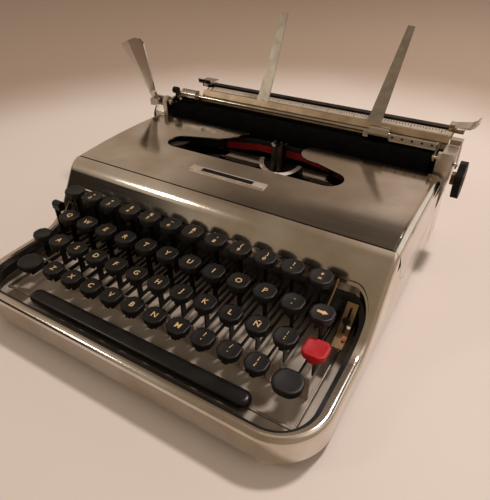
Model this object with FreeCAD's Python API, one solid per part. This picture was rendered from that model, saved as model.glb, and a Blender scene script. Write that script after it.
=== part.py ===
import FreeCAD, Part
import math
import os
from FreeCAD import Vector, Matrix

# Flat portable typewriter. Millimetres, X to the right, Y to the back, Z up.
# The model is drawn about the middle of the casing, on the table, and moved at the end so
# that the origin is the middle of the whole outline on the table.

# Casing
BODY_W = 280.0
BODY_D = 292.0
SHEET = 1.5
FOOT_H = 6.8
PAN_T = 1.2
FLOOR_Z = FOOT_H + PAN_T
RIM_Z = 28.0
RIM_EDGE_R = 4.0
CORNER_R = 34.0
REAR_CORNER_R = 20.0
RIM_FRONT = 4.5
RIM_SIDE = 6.2
OPEN_FRONT_R = 28.0
OPEN_REAR_R = 14.0
LIP_T = 1.2
LIP_H = 5.0
OPEN_BACK = -38.0
SEAM_Y = -20.5
SEAM_Z = 75.5
SEAM_GAP = 0.4
SEAM_SLOPE = 16.0
HOOD_SLOPE = 57.0
HOOD_FOOT_R = 34.0
HOOD_TOP_R = 20.0
REAR_JOIN_Y = 100.0
REAR_TOP = 46.0
PAN_INSET = 2.0
PAN_FLANGE_H = 6.0
GASKET_W = 3.2
GASKET_DROP = 4.0
GASKET_H = 11.0
GASKET_GAP = 0.15
FOOT_R = 10.0
FOOT_X = 112.0
FOOT_INSET = 12.0

# Ribbon cover
COVER_T = 1.2
COVER_BACK = 91.0
COVER_CROWN = 1.9
COVER_EDGE_R = 6.0
SKIRT_Z = 38.0
SKIRT_LEAN = 11.0
SKIRT_LEAN_Z = 54.0
SKIRT_R = 16.0
HINGE_Y = 87.5
HINGE_Z = 73.2
HINGE_PIN_R = 1.4
HINGE_CLEAR = 0.05
KNUCKLE_R = 2.5
HINGE_X = 127.5
HINGE_LEN = 7.0

# Keyboard
PITCH = 19.05
ROW1_X = -87.6
ROW4_Y = -108.1
ROW4_Z = 36.0
ROW_DY = 17.58
ROW_DZ = 10.69
ROW_SHIFT = (0.0, -0.5, -0.25, 0.25)
ROW_KEYS = (11, 11, 11, 10)
CAP_W = 13.8
CAP_D = 13.4
CAP_H = 5.0
CAP_CUT = 3.6
CAP_BEVEL = 1.1
PEG_W = 3.4
PEG_H = 3.2
PEG_T = 2.0
LEVER_T = 1.5
LEVER_BOT = 22.2
LEVER_H = 4.5
STEM_W = 5.0
STEM_TAPER = 0.4
LEVER_NOSE = 1.0
LEVER_TAIL = 2.6
PIVOT_Y = 100.0
PIVOT_Z = 14.5
ROD_R = 1.6
ROD_CLEAR = 0.08
BOSS_R = 4.2
BEND_Y = -44.0
COMB_Y = -98.0
COMB_T = 1.2
COMB_TOP = 31.0
COMB_BASE = 9.6
SLOT_CLEAR = 0.45
OUTER_GAP = 21.6
SHIFT_CAP_W = 18.5
SHIFT_CAP_D = 17.0
SHIFT_Y = ROW4_Y - 3.0
SPACE_Z = 25.4
SPACE_Y = ROW4_Y - 18.0
SPACE_D = 12.0
SPACE_H = 7.6
SPACE_X = (-88.0, 95.0)
SPACE_ARM_X = (-117.6, 122.0)
TAB_SET_X = -120.6
TAB_SET_Y = -66.0

# Chassis
PLATE_IN = 124.0
PLATE_T = 2.0
PLATE_TOP = 45.0
PLATE_Y = (-36.0, 138.0)
BRACKET_T = 1.5
BRACKET_LAP = 7.0
BRACKET_Y = (22.0, 84.0)
RIVET_R = 1.6
RIVET_H = 0.7
RAIL_Y = 130.0
BED_TOP = 44.0
NECK_W = 3.0
NECK_H = 2.4
HEAD_W = 7.0
HEAD_H = 2.4
RAIL_HALF = 118.0
SHOE_HALF = 18.0
RAIL_CLEAR = 0.3
SHELF_Z = 57.0
SHELF_T = 1.5

# Type basket: the pivots lie on a ring whose axis passes through the printing point.
PRINT_Y = 90.6
PRINT_Z = 67.5
BASKET_TILT = 18.0
AXIS_H = 29.0
PIVOT_R = 25.0
BAR_COUNT = 43
BAR_STEP = 3.7
BAR_T = 0.9
BAR_REST_SIDE = 12.0
BAR_REST_MORE = 22.0
SLUG_W = 2.6
SLUG_L = 4.4
SLUG_H = 5.0
WIRE_R = 0.6
WIRE_CLEAR = 0.1
RING_IN = 17.6
RING_OUT = 21.4
RING_TOP = 16.0
RING_LOW = -2.5
FLANGE_OUT = 29.0
FLANGE_TOP = 2.2
SLOT_W = 1.15
SLOT_FROM = 22.4
RING_SPAN = 164.0
GUIDE_W = 8.0
GUIDE_T = 1.6
GUIDE_Y = 84.4
GUIDE_TOP = 76.5
GUIDE_SLOT = 3.2
FORK_HALF = 7.0
FORK_T = 1.2
PRONG_W = 2.6
PRONG_TOP = 74.0
YOKE_Z = (52.2, 54.6)

# Ribbon
SPOOL_X = 95.0
SPOOL_Y = 55.0
SPOOL_R = 20.0
PACK_R = 15.0
SPOOL_Z = (59.0, 72.6)
FLANGE_T = 1.0
RIBBON_Z = (60.4, 71.4)
RIBBON_T = 0.3
RIBBON_Y = 90.9

# Carriage
PLATEN_Y = 109.0
PLATEN_Z = 67.5
PLATEN_R = 17.0
PLATEN_HALF = 126.5
SHAFT_R = 4.0
SHAFT_CLEAR = 0.06
EAR_IN = 131.4
EAR_OUT = 134.2
KNOB_R = 14.75
KNOB_T = 5.6
KNOB_X = 147.6
HUB_R = 5.2
HUB_X = 143.9
KNOB_FLUTES = 28
FLUTE_R = 1.1
FLUTE_DEPTH = 0.45
LEFT_KNOB_R = 11.0
LEFT_KNOB_X = (-153.6, -148.2)
RATCHET_R = 12.0
RATCHET_TEETH = 20
BEAM_Y = (127.0, 131.0)
BEAM_Z = (58.0, 84.0)
TABLE_X = (-106.0, 134.0)
TABLE_T = 1.2
RACK_Y = (143.6, 150.0)
RACK_Z = (90.5, 94.0)
BAIL_Y = 116.0
BAIL_Z = 89.7
BAIL_R = 1.5
BAIL_PIN_Y = 99.0
BAIL_PIN_Z = 86.0
PIN_R = 1.5
PIN_CLEAR = 0.08
ROLLER_R = 5.5
ROLLER_L = 17.0
ROLLER_X = (-117.0, 79.5)
SUPPORT_X = (-38.5, 71.0)
SUPPORT_Y = 126.0
SUPPORT_Z = 93.7
SUPPORT_L = 81.0
SUPPORT_T = 1.2
SUPPORT_LEAN = 31.0
SUPPORT_SWING = (0.0, 5.0)
BLADE_PIN_X = -152.0
BLADE_PIN_Z = 83.0
BLADE_Y = 104.0
BLADE_TIP_X = -190.0

parts = {}


def box(x0, x1, y0, y1, z0, z1):
    return Part.makeBox(x1 - x0, y1 - y0, z1 - z0, Vector(x0, y0, z0))


def rod_x(x0, x1, y, z, r):
    return Part.makeCylinder(r, x1 - x0, Vector(x0, y, z), Vector(1, 0, 0))


def face_of(points):
    wire = Part.makePolygon([Vector(*p) for p in points] + [Vector(*points[0])])
    return Part.Face(wire)


def plate_yz(points, x0, x1):
    return face_of([(x0, y, z) for y, z in points]).extrude(Vector(x1 - x0, 0, 0))


def plate_xy(points, z0, z1):
    return face_of([(x, y, z0) for x, y in points]).extrude(Vector(0, 0, z1 - z0))


def plate_xz(points, y0, y1):
    return face_of([(x, y0, z) for x, z in points]).extrude(Vector(0, y1 - y0, 0))


def fused(shapes):
    whole = shapes[0]
    for piece in shapes[1:]:
        whole = whole.fuse(piece)
    return whole.removeSplitter()


def cut(shape, tools):
    for tool in tools:
        shape = shape.cut(tool)
    return shape


def node(name, *solids):
    parts[name] = solids


# Rounded plan outline, one radius for the front corners and one for the back ones.
def plan(half_w, front, back, r_front, r_back, z0, z1):
    def bend(cx, cy, r, start):
        mid = math.radians(start + 45)
        a = math.radians(start)
        b = math.radians(start + 90)
        p = [Vector(cx + r * math.cos(t), cy + r * math.sin(t), z0) for t in (a, mid, b)]
        return Part.Arc(*p).toShape(), p[0], p[2]

    corners = [
        bend(half_w - r_back, back - r_back, r_back, 0),
        bend(-half_w + r_back, back - r_back, r_back, 90),
        bend(-half_w + r_front, front + r_front, r_front, 180),
        bend(half_w - r_front, front + r_front, r_front, 270),
    ]
    edges = []
    for i, (arc, start, end) in enumerate(corners):
        edges.append(arc)
        following = corners[(i + 1) % 4][1]
        edges.append(Part.makeLine(end, following))
    return Part.Face(Part.Wire(edges)).extrude(Vector(0, 0, z1 - z0))


FRONT = -BODY_D / 2
REAR = BODY_D / 2
HALF_W = BODY_W / 2


# Hood: a flat rim, a hollow bend, a straight slope and a round shoulder up to the seam.
def hood_centres():
    slope = math.radians(HOOD_SLOPE)
    top = math.radians(SEAM_SLOPE)
    shoulder_y = SEAM_Y + HOOD_TOP_R * math.sin(top)
    shoulder_z = SEAM_Z - HOOD_TOP_R * math.cos(top)
    rise = SEAM_Z - RIM_Z - HOOD_FOOT_R * (1 - math.cos(slope))
    rise -= HOOD_TOP_R * (math.cos(top) - math.cos(slope))
    straight = rise / math.sin(slope)
    foot_y = shoulder_y - HOOD_TOP_R * math.sin(slope) - straight * math.cos(slope)
    foot_y -= HOOD_FOOT_R * math.sin(slope)
    return foot_y, RIM_Z + HOOD_FOOT_R, shoulder_y, shoulder_z


def hood_profile(inset, x0, x1, low, back, front=FRONT):
    slope = math.radians(HOOD_SLOPE)
    top = math.radians(SEAM_SLOPE)
    foot_y, foot_z, shoulder_y, shoulder_z = hood_centres()

    def on_foot(angle):
        r = HOOD_FOOT_R + inset
        return Vector(x0, foot_y + r * math.sin(angle), foot_z - r * math.cos(angle))

    def on_shoulder(angle):
        r = HOOD_TOP_R - inset
        return Vector(x0, shoulder_y - r * math.sin(angle), shoulder_z + r * math.cos(angle))

    start = Vector(x0, front, low)
    rim = Vector(x0, front, RIM_Z - inset)
    mid_shoulder = (slope + top) / 2
    end = on_shoulder(top)
    tail = Vector(x0, back, end.z + (back - end.y) * math.tan(top))
    edges = [
        Part.makeLine(start, rim),
        Part.makeLine(rim, on_foot(0)),
        Part.Arc(on_foot(0), on_foot(slope / 2), on_foot(slope)).toShape(),
        Part.makeLine(on_foot(slope), on_shoulder(slope)),
        Part.Arc(on_shoulder(slope), on_shoulder(mid_shoulder), end).toShape(),
        Part.makeLine(end, tail),
        Part.makeLine(tail, Vector(x0, back, low)),
        Part.makeLine(Vector(x0, back, low), start),
    ]
    return Part.Face(Part.Wire(edges)).extrude(Vector(x1 - x0, 0, 0))


def skirt_outline(gap):
    lean = SEAM_Y + SKIRT_LEAN
    return [
        (SEAM_Y - gap, SEAM_Z + 20),
        (SEAM_Y - gap, SEAM_Z - 1),
        (lean - gap, SKIRT_LEAN_Z),
        (lean + SKIRT_R * 0.35 - gap, SKIRT_Z + SKIRT_R * 0.3 - gap * 0.5),
        (lean + SKIRT_R - gap * 0.4, SKIRT_Z - gap),
        (COVER_BACK + gap, SKIRT_Z - gap),
        (COVER_BACK + gap, SEAM_Z + 20),
    ]


def opening_outline(inset, z0, z1):
    half = HALF_W - RIM_SIDE - inset
    front = FRONT + RIM_FRONT + inset
    return plan(half, front, OPEN_BACK - inset, OPEN_FRONT_R - inset, OPEN_REAR_R - inset, z0, z1)


def main_casing():
    outer = hood_profile(0, -HALF_W, HALF_W, FLOOR_Z, REAR_JOIN_Y)
    outer = outer.common(plan(HALF_W, FRONT, REAR_JOIN_Y + 60, CORNER_R, 5, 0, 120))
    rim_edges = []
    for edge in outer.Edges:
        middle = edge.valueAt((edge.FirstParameter + edge.LastParameter) / 2)
        on_side = abs(abs(middle.x) - HALF_W) < 0.01 or middle.y < FRONT + CORNER_R
        upright = edge.BoundBox.ZLength > 15 and edge.BoundBox.YLength < 0.01
        flat_foot = edge.BoundBox.ZMax < FLOOR_Z + 0.01
        at_join = edge.BoundBox.YMin > REAR_JOIN_Y - 0.01
        if on_side and not upright and not flat_foot and not at_join:
            rim_edges.append(edge)
    outer = outer.makeFillet(RIM_EDGE_R, rim_edges)
    inner = hood_profile(SHEET, -HALF_W + SHEET, HALF_W - SHEET, FLOOR_Z - 1, REAR_JOIN_Y + 1,
                         FRONT + SHEET)
    round_in = CORNER_R - SHEET
    inner = inner.common(plan(HALF_W - SHEET, FRONT + SHEET, REAR_JOIN_Y + 60, round_in, 5, 0, 120))
    shell = outer.cut(inner)
    opening = opening_outline(0, FLOOR_Z + 2, 120)
    hanging = opening.cut(opening_outline(LIP_T, FLOOR_Z, 121))
    hanging = hanging.common(hood_profile(SHEET / 2, -HALF_W, HALF_W, FLOOR_Z, SEAM_Y, FRONT - 5))
    hanging = hanging.cut(hood_profile(LIP_H, -HALF_W, HALF_W, FLOOR_Z - 1, SEAM_Y, FRONT - 5))
    top_gone = box(-HALF_W - 1, HALF_W + 1, SEAM_Y, REAR_JOIN_Y + 1, SEAM_Z - 15, SEAM_Z + 40)
    skirt = plate_yz(skirt_outline(SEAM_GAP), -HALF_W - 1, HALF_W + 1)
    behind = box(-HALF_W - 1, HALF_W + 1, COVER_BACK, REAR_JOIN_Y + 1, REAR_TOP, SEAM_Z + 40)
    shell = cut(shell, [opening, top_gone, skirt, behind])
    shell = shell.fuse(hanging)
    lip = plate_yz([(SEAM_Y - 3.5, SEAM_Z - 2.8), (SEAM_Y - 0.7, SEAM_Z - 1.7), (SEAM_Y + 5, SEAM_Z - 1.7),
                    (SEAM_Y + 5, SEAM_Z - 2.7), (SEAM_Y - 0.5, SEAM_Z - 2.7), (SEAM_Y - 3.5, SEAM_Z - 4.2)],
                   -HALF_W + 12, HALF_W - 12)
    node("main_casing", fused([shell, lip]))


def rear_casing():
    front = REAR_JOIN_Y + 1.4
    outer = plan(HALF_W, FRONT, REAR, 5, REAR_CORNER_R, FLOOR_Z, REAR_TOP)
    inner = plan(HALF_W - SHEET, FRONT, REAR - SHEET, 5, REAR_CORNER_R - SHEET, FLOOR_Z - 1, REAR_TOP + 1)
    shell = outer.cut(inner).common(box(-HALF_W, HALF_W, front, REAR, 0, REAR_TOP))
    node("rear_casing", shell)


def base_pan():
    half = HALF_W - PAN_INSET
    low = FRONT + PAN_INSET
    high = REAR - PAN_INSET
    r_front = CORNER_R - PAN_INSET
    r_back = REAR_CORNER_R - PAN_INSET
    sheet = plan(half, low, high, r_front, r_back, FOOT_H, FLOOR_Z + PAN_FLANGE_H)
    t = PAN_T
    hollow = plan(half - t, low + t, high - t, r_front - t, r_back - t, FLOOR_Z, FLOOR_Z + PAN_FLANGE_H + 1)
    node("base_pan", sheet.cut(hollow))


def rubber_feet():
    feet = []
    for x in (-FOOT_X, FOOT_X):
        for y in (FRONT + FOOT_INSET, REAR - 2 * FOOT_INSET):
            foot = Part.makeCone(FOOT_R - 1.5, FOOT_R, FOOT_H, Vector(x, y, 0))
            feet.append(foot)
    node("rubber_feet", *feet)


def opening_gasket():
    outer = LIP_T + GASKET_GAP
    ring = opening_outline(outer, FLOOR_Z, 90).cut(opening_outline(outer + GASKET_W, FLOOR_Z, 90))
    under = hood_profile(GASKET_DROP, -HALF_W, HALF_W, FLOOR_Z, SEAM_Y, FRONT - 5)
    over = hood_profile(GASKET_H, -HALF_W, HALF_W, FLOOR_Z - 1, SEAM_Y, FRONT - 5)
    node("opening_gasket", ring.common(under).cut(over))


# Ribbon cover: the arched top sheet with a skirt at each side and the opening over the type.
def cover_profile(inset, x0, x1):
    y0 = SEAM_Y + SEAM_GAP if inset == 0 else SEAM_Y - 1
    y1 = COVER_BACK if inset == 0 else COVER_BACK + 1
    chord = COVER_BACK - SEAM_Y
    radius = (chord * chord / 4 + COVER_CROWN ** 2) / (2 * COVER_CROWN)
    mid_y = (SEAM_Y + COVER_BACK) / 2
    centre_z = SEAM_Z + 0.3 + COVER_CROWN - radius

    def at(y):
        r = radius - inset
        return Vector(x0, y, centre_z + math.sqrt(r * r - (y - mid_y) ** 2))

    edges = [
        Part.Arc(at(y0), at(mid_y), at(y1)).toShape(),
        Part.makeLine(at(y1), Vector(x0, y1, 30)),
        Part.makeLine(Vector(x0, y1, 30), Vector(x0, y0, 30)),
        Part.makeLine(Vector(x0, y0, 30), at(y0)),
    ]
    return Part.Face(Part.Wire(edges)).extrude(Vector(x1 - x0, 0, 0))


def cover_slot(z0, z1):
    def arc(a, b, c):
        return Part.Arc(Vector(a[0], a[1], z0), Vector(b[0], b[1], z0), Vector(c[0], c[1], z0)).toShape()

    def line(a, b):
        return Part.makeLine(Vector(a[0], a[1], z0), Vector(b[0], b[1], z0))

    left_low, right_low = (-73, 30), (65, 30)
    right_top, right_neck, right_tip = (71, 53), (46, 63), (33, 94)
    left_top, left_neck, left_tip = (-80, 53), (-56, 62), (-31, 94)
    edges = [
        line(left_low, right_low),
        arc(right_low, (77.5, 43), right_top),
        line(right_top, right_neck),
        arc(right_neck, (27, 77), right_tip),
        line(right_tip, (right_tip[0], 110)),
        line((right_tip[0], 110), (left_tip[0], 110)),
        line((left_tip[0], 110), left_tip),
        line(left_tip, (-36, 84)),
        arc((-36, 84), (-42, 70), left_neck),
        line(left_neck, left_top),
        arc(left_top, (-86.5, 42), left_low),
    ]
    return Part.Face(Part.Wire(edges)).extrude(Vector(0, 0, z1 - z0))


def ribbon_cover():
    outer = cover_profile(0, -HALF_W, HALF_W)
    long_edges = [e for e in outer.Edges
                  if e.BoundBox.YLength > 50 and e.BoundBox.ZMin > 60 and e.BoundBox.XLength < 0.1]
    outer = outer.makeFillet(COVER_EDGE_R, long_edges)
    inner = cover_profile(COVER_T, -HALF_W + COVER_T, HALF_W - COVER_T)
    inner_edges = [e for e in inner.Edges
                   if e.BoundBox.YLength > 50 and e.BoundBox.ZMin > 60 and e.BoundBox.XLength < 0.1]
    inner = inner.makeFillet(COVER_EDGE_R - COVER_T, inner_edges)
    shell = outer.cut(inner)
    shell = shell.common(plate_yz(skirt_outline(-0.001), -HALF_W - 1, HALF_W + 1))
    notch = plate_yz([(COVER_BACK + 1, SEAM_Z - 3.6), (COVER_BACK - 24, SEAM_Z - 7.5),
                      (COVER_BACK - 6, SEAM_Z - 12), (COVER_BACK + 1, SEAM_Z - 12)],
                     -HALF_W - 1, HALF_W + 1)
    shell = cut(shell, [cover_slot(60, 120), notch])
    knuckles = []
    for side in (-1, 1):
        x0 = min(side * HINGE_X, side * (HINGE_X + HINGE_LEN))
        barrel = rod_x(x0, x0 + HINGE_LEN, HINGE_Y, HINGE_Z, KNUCKLE_R)
        web = box(x0, x0 + HINGE_LEN, HINGE_Y - KNUCKLE_R, HINGE_Y, HINGE_Z, SEAM_Z - 0.2)
        knuckles += [barrel, web]
    bores = [rod_x(-HINGE_X - HINGE_LEN - 1, -HINGE_X + 1, HINGE_Y, HINGE_Z, HINGE_PIN_R + HINGE_CLEAR),
             rod_x(HINGE_X - 1, HINGE_X + HINGE_LEN + 1, HINGE_Y, HINGE_Z, HINGE_PIN_R + HINGE_CLEAR)]
    recess = plate_box()
    node("ribbon_cover", cut(fused([shell] + knuckles), bores + [recess]))
    node("name_plate", recess)


def plate_box():
    return box(-37.5, 30.0, SEAM_Y + 23.5, SEAM_Y + 31.0, SEAM_Z + 1.35, SEAM_Z + 2.6)


# Keys: a bevelled eight-sided cap with a peg, on a stem of its own flat lever.
def cap(x, y, z, w, d, peg=True):
    def ring(inset, height):
        hw, hd, c = w / 2 - inset, d / 2 - inset, CAP_CUT - inset * 0.4
        return Part.makePolygon([Vector(x + px, y + py, height) for px, py in (
            (hw, -hd + c), (hw, hd - c), (hw - c, hd), (-hw + c, hd),
            (-hw, hd - c), (-hw, -hd + c), (-hw + c, -hd), (hw - c, -hd), (hw, -hd + c))])

    body = Part.makeLoft([ring(0.6, z - CAP_H), ring(0, z - CAP_BEVEL)], True, True)
    top = Part.makeLoft([ring(0, z - CAP_BEVEL), ring(CAP_BEVEL, z)], True, True)
    pieces = [body, top]
    if peg:
        low = z - CAP_H - PEG_H
        pieces.append(box(x - PEG_W / 2, x + PEG_W / 2, y - d / 2 + 1.4, y - d / 2 + 1.4 + PEG_T,
                          low, z - CAP_H + 0.5))
    return fused(pieces)


def lever(x, y, z):
    half = STEM_W / 2
    top = LEVER_BOT + LEVER_H
    back = PIVOT_Y + BOSS_R
    points = [
        (y - half + LEVER_NOSE, LEVER_BOT), (BEND_Y, LEVER_BOT), (PIVOT_Y - BOSS_R, PIVOT_Z - LEVER_TAIL),
        (back, PIVOT_Z - LEVER_TAIL), (back, PIVOT_Z + LEVER_TAIL), (PIVOT_Y - BOSS_R, PIVOT_Z + LEVER_TAIL),
        (BEND_Y, top), (y + half, top), (y + half - STEM_TAPER, z), (y - half + STEM_TAPER, z),
        (y - half, LEVER_BOT + LEVER_NOSE),
    ]
    strip = plate_yz(points, x - LEVER_T / 2, x + LEVER_T / 2)
    return strip.cut(rod_x(x - LEVER_T, x + LEVER_T, PIVOT_Y, PIVOT_Z, ROD_R + ROD_CLEAR))


def key_place(row, column):
    x = ROW1_X + (column + ROW_SHIFT[row]) * PITCH
    up = 3 - row
    return x, ROW4_Y + up * ROW_DY, ROW4_Z + up * ROW_DZ


def key(row, column):
    x, y, z = key_place(row, column)
    return cap(x, y, z, CAP_W, CAP_D), lever(x, y, z - CAP_H)


LETTERS = ("", "qwertyuiop", "asdfghjkl")


def type_keys():
    sign_pieces = []
    for row in range(3):
        for column in range(ROW_KEYS[row]):
            if column < len(LETTERS[row]):
                node("key_" + LETTERS[row][column], *key(row, column))
            else:
                sign_pieces += key(row, column)
    node("number_and_sign_keys", *sign_pieces)
    bottom_pieces = []
    for column in range(ROW_KEYS[3]):
        bottom_pieces += key(3, column)
    node("bottom_row_keys", *bottom_pieces)


def service_keys():
    places = (("margin_release_key", key_place(0, -1)), ("backspace_key", key_place(1, 11)),
              ("tabulator_key", key_place(2, 11)))
    for name, (x, y, z) in places:
        node(name, cap(x, y, z, CAP_W, CAP_D), lever(x, y, z - CAP_H))
    x, y, z = key_place(2, -1)
    lock_lever = lever(x, y, z - CAP_H)
    node("shift_lock", cap(x, y, z, CAP_W - 1.5, CAP_D - 1.5, False), lock_lever)
    pieces = []
    for x in (key_place(3, 0)[0] - OUTER_GAP, key_place(3, 9)[0] + OUTER_GAP):
        pieces.append(cap(x, SHIFT_Y, ROW4_Z, SHIFT_CAP_W, SHIFT_CAP_D, False))
        pieces.append(lever(x, SHIFT_Y, ROW4_Z - CAP_H))
    node("shift_keys", *pieces)
    x = TAB_SET_X
    y = TAB_SET_Y
    block = plate_yz([(y - 3, 52), (y + 3, 52), (y + 3, 58.6), (y + 1.6, 60), (y - 1.6, 60), (y - 3, 58.6)],
                     x - 0.8, x + 8.6)
    node("tab_set_lever", block, lever(x, y, 52))


def space_bar():
    x0, x1 = SPACE_X
    y0, y1 = SPACE_Y - SPACE_D / 2, SPACE_Y + SPACE_D / 2
    z0, z1 = SPACE_Z - SPACE_H, SPACE_Z
    end = SPACE_D / 2
    profile = [(y0, z0), (y1, z0), (y1, z1 - 2.4), (y1 - 2.6, z1), (y0 + 3.4, z1), (y0, z1 - 3.4)]
    bar = plate_yz(profile, x0, x1)
    outline = []
    for cx, turn in ((x1 - end, -90), (x0 + end, 90)):
        for k in range(7):
            a = math.radians(turn + 30 * k)
            outline.append((cx + end * math.cos(a), SPACE_Y + end * math.sin(a)))
    bar = bar.common(plate_xy(outline, z0, z1))
    arms = []
    for x in SPACE_ARM_X:
        arm = plate_yz([(SPACE_Y - 2, z0 - 3), (SPACE_Y - 2, z0), (PIVOT_Y + BOSS_R, PIVOT_Z + 2.6),
                        (PIVOT_Y + BOSS_R, PIVOT_Z - 2.6)], x - LEVER_T / 2, x + LEVER_T / 2)
        arms.append(arm.cut(rod_x(x - 2, x + 2, PIVOT_Y, PIVOT_Z, ROD_R + ROD_CLEAR)))
    in_l, in_r = SPACE_ARM_X[0] + LEVER_T / 2, SPACE_ARM_X[1] - LEVER_T / 2
    cross = box(in_l, in_r, SPACE_Y - 2, SPACE_Y + 2.5, z0 - 3, z0)
    node("space_bar", bar, cross, *arms)


def front_comb():
    plate = box(-112.5, 118, COMB_Y - COMB_T / 2, COMB_Y + COMB_T / 2, FLOOR_Z, COMB_TOP)
    foot = box(-112.5, 118, COMB_Y, COMB_Y + 8, FLOOR_Z, FLOOR_Z + COMB_T)
    xs = [key_place(row, column)[0] for row in range(4) for column in range(ROW_KEYS[row])]
    xs += [key_place(3, 0)[0] - OUTER_GAP, key_place(3, 9)[0] + OUTER_GAP]
    half = LEVER_T / 2 + SLOT_CLEAR
    slots = [box(x - half, x + half, COMB_Y - 2, COMB_Y + 2, COMB_BASE, COMB_TOP - 1.5) for x in xs]
    node("front_comb", fused([plate, foot]).cut(Part.Compound(slots)))


# Chassis: two side plates, each with a riveted bracket that carries the shelf of the spool and
# the ear of the cover hinge, and the shaft of the key levers between them.
def side_frames():
    y0, y1 = PLATE_Y
    in_face = PLATE_IN - BRACKET_T
    front, back = BRACKET_Y
    low = PLATE_TOP - BRACKET_LAP
    plates = []
    for side in (-1, 1):
        x0, x1 = sorted((side * PLATE_IN, side * (PLATE_IN + PLATE_T)))
        plate = plate_yz([(y0, FLOOR_Z), (y1, FLOOR_Z), (y1, PLATE_TOP), (0, PLATE_TOP), (y0, 36)],
                         x0, x1)
        b0, b1 = sorted((side * in_face, side * PLATE_IN))
        bracket = plate_yz([(front, low), (back, low), (HINGE_Y + 1.2, HINGE_Z - 0.6),
                            (HINGE_Y + 0.9, HINGE_Z + 0.8), (HINGE_Y - 3.5, HINGE_Z + 1), (72, SHELF_Z),
                            (30, SHELF_Z), (front, PLATE_TOP)], b0, b1)
        for y in (front + 6, (front + back) / 2, back - 6):
            r0, r1 = sorted((side * (in_face - RIVET_H), side * in_face))
            plates.append(rod_x(r0, r1, y, low + BRACKET_LAP / 2, RIVET_R))
        shelf = plate_xy([(side * in_face, 30), (side * in_face, 76), (side * 50, 84), (side * 50, 77),
                          (side * 70, 68), (side * 74, 30)], SHELF_Z - SHELF_T, SHELF_Z)
        post = Part.makeCylinder(1.5, SPOOL_Z[1] - SHELF_Z, Vector(side * 53, 81.0 - 1.2, SHELF_Z))
        spindle = Part.makeCylinder(2.5, SPOOL_Z[1] - SHELF_Z - 1, Vector(side * SPOOL_X, SPOOL_Y, SHELF_Z))
        p0, p1 = sorted((side * PLATE_IN, side * (HINGE_X + HINGE_LEN + 0.8)))
        pin = rod_x(p0, p1, HINGE_Y, HINGE_Z, HINGE_PIN_R)
        plates += [plate, bracket, shelf, post, spindle, pin]
    shaft = rod_x(-PLATE_IN, PLATE_IN, PIVOT_Y, PIVOT_Z, ROD_R)
    node("side_frames", *plates, shaft)


def carriage_rail():
    bed = box(-PLATE_IN, PLATE_IN, RAIL_Y - 6, RAIL_Y + 6, BED_TOP - 8, BED_TOP)
    neck = box(-RAIL_HALF, RAIL_HALF, RAIL_Y - NECK_W / 2, RAIL_Y + NECK_W / 2, BED_TOP, BED_TOP + NECK_H)
    top = BED_TOP + NECK_H
    head = box(-RAIL_HALF, RAIL_HALF, RAIL_Y - HEAD_W / 2, RAIL_Y + HEAD_W / 2, top, top + HEAD_H)
    node("carriage_rail", fused([bed, neck, head]))


def selector_plate():
    path = [(-69, 28.0), (-60, 31.0), (-52, 38.5), (-45, 46.0)]
    lower = [(y + 0.9, z - 1.1) for y, z in reversed(path)]
    track = plate_yz(path + lower, 118.6, 125.8)
    bracket = plate_yz([(-55.5, 33.4), (-51.5, 37.6), (-46, 28), (-38, 26), (-38, 22), (-47, 23)],
                       PLATE_IN - BRACKET_T, PLATE_IN)
    arm = box(PLATE_IN - BRACKET_T, PLATE_IN, -39, -30, 22, 26)
    slot = plate_yz([(-59, 26), (-59, 38), (-47, 50), (-47, 36)], 121.4, 123.0)
    rod_run = Vector(0, -16, -12.2)
    rod = Part.makeCylinder(0.7, rod_run.Length, Vector(111.2, -46.5, 62.5), rod_run)
    node("selector_plate", fused([track, bracket, arm]).cut(slot), rod)
    centre = Vector(122.2, -53.5, 37.1)
    normal = Vector(0, -0.68, 0.73)
    stem = Part.makeCylinder(0.6, 4.4, centre - normal * 1.8, normal)
    knob = Part.makeCylinder(2.3, 2.6, centre + normal * 1.6, normal)
    node("ribbon_selector", fused([stem, knob]))


# Type basket, drawn about the ring's own axis with the front towards -Y, then set in place.
def in_basket(shape):
    tilt = math.radians(BASKET_TILT)
    shape.rotate(Vector(0, 0, 0), Vector(1, 0, 0), BASKET_TILT)
    shape.translate(Vector(0, PRINT_Y + AXIS_H * math.sin(tilt), PRINT_Z - AXIS_H * math.cos(tilt)))
    return shape


def sector(r_in, r_out, z0, z1, span):
    ring = Part.makeCylinder(r_out, z1 - z0, Vector(0, 0, z0), Vector(0, 0, 1), span)
    ring = ring.cut(Part.makeCylinder(r_in, z1 - z0, Vector(0, 0, z0)))
    ring.rotate(Vector(0, 0, 0), Vector(0, 0, 1), -90 - span / 2)
    return ring


def type_bar(turn):
    reach = math.sqrt(PIVOT_R ** 2 + AXIS_H ** 2 - SLUG_H ** 2)
    y = -PIVOT_R
    half = SLUG_L / 2
    strip = plate_yz([(y + 2, -1.6), (y - 2, -1.6), (y - reach - half, -0.9), (y - reach - half, 1.1),
                      (y - 2, 1.6), (y + 2, 1.6)], -BAR_T / 2, BAR_T / 2)
    hole = rod_x(-1, 1, y, 0, WIRE_R + WIRE_CLEAR)
    slug = box(-SLUG_W / 2, SLUG_W / 2, y - reach - half, y - reach + half, 0.6, SLUG_H)
    whole = strip.cut(hole).fuse(slug)
    lift = BAR_REST_SIDE + BAR_REST_MORE * math.cos(math.radians(turn))
    whole.rotate(Vector(0, y, 0), Vector(1, 0, 0), -lift)
    whole.rotate(Vector(0, 0, 0), Vector(0, 0, 1), turn)
    return in_basket(whole)


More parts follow.
